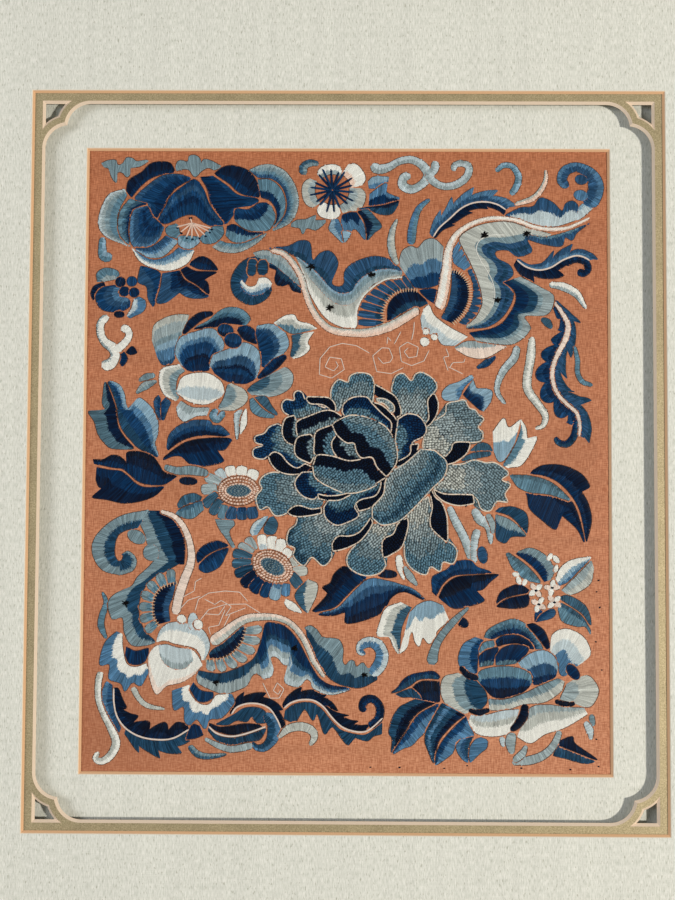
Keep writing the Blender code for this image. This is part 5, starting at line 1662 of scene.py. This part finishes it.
for points, widths, bands in (
    ("184.5,153 190,151 198.5,149.8", [0.8, 2.6, 1.4], "mid"),
    ("178.5,176 181,182 185,189.5 189.8,201", [2.6, 3.4, 3.4, 4], "mist .4 pale"),
    ("190.5,177 193,181.5 197.5,185 198.5,193.5", [3, 4.4, 3.2, 0.8], "mist .4 pale"),
    ("197,179.5 199.2,184 199.5,188.5", [2, 2.4, 0.8], "mist"),
):
    ribbon(right_leaves, points, widths, bands)
ribbon(right_leaves, "192,187 190.5,193 190.3,202.5", [3.2, 3, 3], "mist .4 pale", void=0.0)
oval(right_leaves, (194.5, 199), 8, 4.2, 80, "blue")
right_leaves.sew()


# Blossom spray at the right: four small five-petalled flowers in white floss with dark centres, round
# which paired leaves stand.
spray = Motif("blossom_spray")
for inner, outer, bands in (
    ("207,198 213.5,202.5 218.5,207 222.3,211.8", "206,198.3 209.5,205.5 215,210.3 222,212.3",
     "dusk .5 steel"),
    ("211,198.3 216,201.8 221,206.5 224.5,211.5", "212,197.3 218,195.8 225,199.5 228.8,206 227.3,210.5",
     "navy .5 slate"),
    ("231.5,213.3 235.5,211.5 240.5,206.5 246,201", "230,210.5 232.5,205 238,201.3 246.8,199.8",
     "azure .2 sky .48 white"),
    ("247,201.8 241.5,207.5 237,212 233,215.8", "248,205 246.5,212 241,216.3 236,218", "mist .5 stone"),
    ("201.5,222.4 207,218.9 216,216.9", "201.3,221.5 203.5,217 209,214 213,213.5 216.7,216", "ink"),
    ("201.6,223.4 207,220.2 216.5,218.2", "201.5,223.8 209,224.5 215.5,223.5 217,220", "ink"),
    ("219.8,231 221.4,228.6 223.2,226.6", "219.7,228.8 220,226.8 221.6,225.4 223,226", "navy .4 indigo"),
    ("220.6,230.9 223,227.6 226.4,225.4", "222.4,230.6 227,229.4 229.3,227.4 228.9,225.2 226.8,225.2",
     "indigo .4 blue"),
    ("232.5,220.2 238,223.6 243,227.3 246.5,232.4", "232,219.2 236,218.6 243,222.5 245.7,227 246.8,232",
     "mid"),
    ("232,222 238,225.2 242.6,229 246.4,235", "231,225 233,230.5 240,233 244,233 246.3,236.5",
     "mid .3 steel"),
):
    spray.fill(inner, outer, bands)
for centre, length, width, turn, bands in (
    ((227, 199.8), 3.6, 1.6, -60, "white"),
    ((230, 200.9), 4, 2, 50, "white"), ((230, 205.4), 3.4, 1.6, -75, "white"),
    ((210.5, 208.3), 3, 1.6, 10, "white"),
    ((212, 211.3), 3.4, 2, 70, "white"), ((214.8, 212.1), 3, 1.6, -60, "white"),
):
    oval(spray, centre, length, width, turn, bands, void=0.2)
for centre, turn in (((220.2, 215.9), 45), ((228, 214.7), 85), ((221.5, 222.6), 60), ((229, 221.6), 52)):
    for i in range(4):
        bearing = turn + i * 90 + dice.uniform(-12, 12)
        ray = np.array([cos(radians(bearing)), -sin(radians(bearing))])
        oval(spray, ray * 2.1 + centre, 3.3, 1.9, -bearing, "white" if i % 2 == 0 else "shell", void=0.1)
    spray.loops(np.array([centre, ray * 0.3 + centre]), np.array([floss_colours["black"]] * 2), 0.7, 0.8)
spray.sew()


# Lower right flower: a large peony in satin stitch, navy and black at the heart, white and grey below,
# with a lobed blue leaf on its left and small leaves under it.
peony_right = Motif("peony_lower_right")
for inner, outer, bands in (
    ("199,239.3 204,237.2 210,236.8 215.5,239 219.5,244", "195.5,238.5 197.5,235 204,231.5 210.5,230.2 "
     "218.5,235 223.3,244", "navy .4 mid .7 steel"),
    ("216,232.5 220.5,237.5 225.5,244", "219,231.8 224,235.5 227,243", "ink"),
    ("194.5,240 192.5,245 191.8,251 191.5,255.5", "191,238.8 185.5,242 183,248.5 184.5,253.5 190.5,256",
     "indigo .42 azure"),
    ("193.5,247 196.5,245 200.5,243.5", "193,245 195,241.5 199.5,240.3", "steel"),
    ("201.5,242.8 206,241.5 212,241.3 216,243.8", "201,240.5 204,238.3 211,237.8 216.5,240.5 219,244",
     "ink .6 navy"),
    ("193.2,252.5 199.5,251.5", "192.8,248 196,245.3 201.8,243.8 199.8,248.5", "dusk .3 navy"),
    ("201,251.7 206,251.5 210,251", "200.8,248 204,244 210,242.3 216.3,243.8 214.5,248", "dusk .25 navy"),
    ("227.3,260 231.2,250 231.5,255 234,256.7 238.5,252.5", "227.3,243 228.5,237 235,234.6 243,238.5 "
     "246.3,246 242.5,250.3", "azure .4 pale .7 white"),
    ("219.3,261 224.5,260.3 229.5,257", "212,250.8 217.5,246.5 224,245 229,248 230.6,253",
     "navy .25 blue .6 sky"),
    ("195,262.5 199.5,266.8 206,267.3 213,265 216.5,262.5", "192.3,259 193.5,255 201,253 210,253.1 217,256 "
     "218,260", "ink .3 indigo .65 steel"),
    ("191.5,259.8 195.5,264.5 196.3,269.5 194,272.6", "182.5,256 176,258 174.6,265 178,272 185,275 "
     "190,272.8", "deep .45 slate .72 stone"),
    ("197.5,268.5 205,268.6 214,265.8 222,262 231,258.3", "198,273.2 206,273 214,270.3 224,269.3 "
     "231.5,264.5 233.6,259.8", "slate .48 stone"),
    ("235,261 233.5,264.5 231.8,268", "239,258.5 245.5,257 250,263.5 247.5,270 244,271.7 238,269.3",
     "mist .45 stone"),
    ("189,276.2 196,276 204,274 211.8,273.2", "187.3,279.5 191,284 198,285.8 206,284.5 209.5,280.5",
     "pale .35 stone .6 white"),
    ("214,279.5 217.8,272.3 226,271 234,272 243,272.3", "211.3,286 217.5,288.8 224.5,284.5 234,281.3 "
     "244.6,275", "mist .25 stone .6 white"),
    # lobed leaf on the left
    ("150.4,265.7 155,264 159.5,261.7 163.5,258.9 168,258.3 173.2,258.6",
     "150.2,265.5 153.4,263.3 156,259.8 159.6,257.2 165,255.9 170.6,255.3 173.8,257.6", "deep .6 navy"),
    ("153,266.1 157.4,264.4 161,263.6 165.6,265", "155.6,267.5 160.4,267.3 162,269 166,271", "deep"),
    ("161,262.6 164.6,260.3 169,259.9 173.5,260.3", "166,267 166.4,271.2 170,270.2 173.8,269.2",
     "black .5 ink"),
    ("171,270.4 166,272.9 162.4,275.4 159.8,278.6 157.4,283 154,288.6 150.9,294",
     "162,268.6 158,270.5 154.6,272.4 151.8,276.4 150,281 149.6,284.8 151.1,287.6 150.6,294",
     "black .38 ink .5 deep"),
    ("173,271 167.6,273.6 163.4,276.4 160.4,280.4 157.4,285.2 151.4,294.2",
     "176,276 171.4,278.6 168.4,281.2 166.2,284.4 163.4,287 160.2,290.3 156,291.8 151.4,294.6",
     "indigo .42 azure"),
    ("185.5,276 181,279.3 177,283.4 173.6,287.6 171.9,292.4 171.2,299",
     "175,270.4 171.6,276.4 168.8,281.4 167.2,285 167,289 168.6,293.4 170.9,299",
     "ink .3 deep .62 azure .8 deep"),
    ("186.4,277 182.6,280.3 178.6,284.4 175,289 172.6,294 171.9,299.4",
     "187.6,280.4 190,285.4 187,287.8 183.6,289.4 181.2,290.8 179.6,294 176,297 172,299.7",
     "indigo .4 azure"),
    ("189.6,286.4 188,289.4 187.4,293.4 188,298", "184,287.8 181.9,290.8 183.2,294.6 185.6,297.3 "
     "187.4,298.4", "deep .36 blue .66 azure"),
    ("191.2,287.4 189,290.4 188.3,294 188.5,298.2", "193.6,286.7 196.4,288 196,291.6 193,294 189.4,297.6",
     "azure"),
    # small leaves below
    ("229.5,291 233,289.5 240,293 249,297", "228.5,294.8 234,296 243,298.3 249,297.3", "deep"),
    ("231.5,290 238,292.5 249,296.8", "231.5,288 237.5,286 239,289.5 249.3,296.6", "ink"),
):
    peony_right.fill(inner, outer, bands)
oval(peony_right, (238, 255), 8, 4.2, 52, "navy")
for points, widths, bands in (
    ("183.8,253 187,256.5 192,258.4", [1.5, 2.4, 1.8], "black"),
    ("188,273.6 192.5,274.6 197.5,273.3", [1, 2.2, 1.2], "black"),
    ("229.5,269 234,270.3 238.5,270.2", [1.4, 2, 1.2], "black"),
    ("214.8,270.8 214.3,275.5 211.5,280 208.2,283", [2.6, 3.6, 3.4, 1.5], "black"),
    ("203.5,286.5 204.8,290.5", [2, 2.2], "pale"),
    ("209,284.5 207.8,288.5 208.5,294", [3.6, 4.4, 1.6], "mist"),
    ("231.5,283.5 228.5,290 224,294.5 218,297 209,298.5", [2, 2.8, 3.4, 3.6, 1.6], "mist"),
    ("215.3,290.5 213.5,294 209.5,297.5", [1.2, 3, 2.2], "mist"),
    ("246.8,275.5 247.3,280.5", [2, 2], "slate"), ("243.8,279 246,283 246.5,287", [2, 3, 0.8], "pale"),
):
    ribbon(peony_right, points, widths, bands, void=0.3)
peony_right.sew()


# Fine line-work: single cream threads laid as angular spirals and zigzags on the bare silk, each straight
# between the points where it is couched down.
line_work = Motif("fine_line_work")
for points in (
    "139.5,101 133,97.3 126,96.2 120,98 115.3,103.7 115,111.5 121,113.3 127.2,109 125.7,103.8 120,103 "
     "117.7,107.8 122,109.8 124.2,107.3 123,105",
    "156,108 150,111 143,110 141,102.3 145.5,98.3 149,98.5 150.8,103 149.5,105.3 146,106 143.5,103",
    "168.5,99.5 166,104.7 160,107 155,105 154,98 158,95.5 163.3,98 162.5,102.5 158.5,103.2 156.3,100.2 "
     "158.3,98.3",
    "148,96.5 148.3,93 150,95", "151.5,96.5 154.8,90.3", "161.3,85.5 161,90 160,94.5",
    "176.8,98.5 178.2,102.3 175.5,102.8 177.8,109.5", "178.5,108 180,105.5 185.5,105.2 186,103.5",
    "177.8,107.5 185,111",
    "58.5,210.8 55.5,212.5 55,217", "48,226 52,221.5 58,219.5", "48.5,220.5 55,217",
    "55.5,226.5 57,221 62,218 70,217 77,217.5 81,222",
    "58,231 62,226 70,223.5 80,223.2 87,227.5", "60,221 65,223.5 68,221.5 73,224.5 70,229 80,225",
    "63,238 62,234.5 67,233.5 70,226", "69.5,234 72.5,228", "60,228 67,228.5 70,224",
    "88.5,261 92,268.3 96.5,268.3 98.8,264 95.5,261 93.5,264.8 96,266.5 97.2,264.4",
):
    line_work.laid(points, "shell", 0.44, 0.4, smooth=False)
# pin holes near the lower and right edges, stitched over with a dot of black
pins = charted("250.5,211 249.5,216.5 251,224 249,240.5 251.8,254 249,287 250,300 176,301.3 187,300 "
               "140.5,301 154.5,301 236.5,301.5 213,301")
line_work.loops(pins, np.tile(floss_colours["black"], (len(pins), 1)), 0.5, 0.3)
line_work.sew()
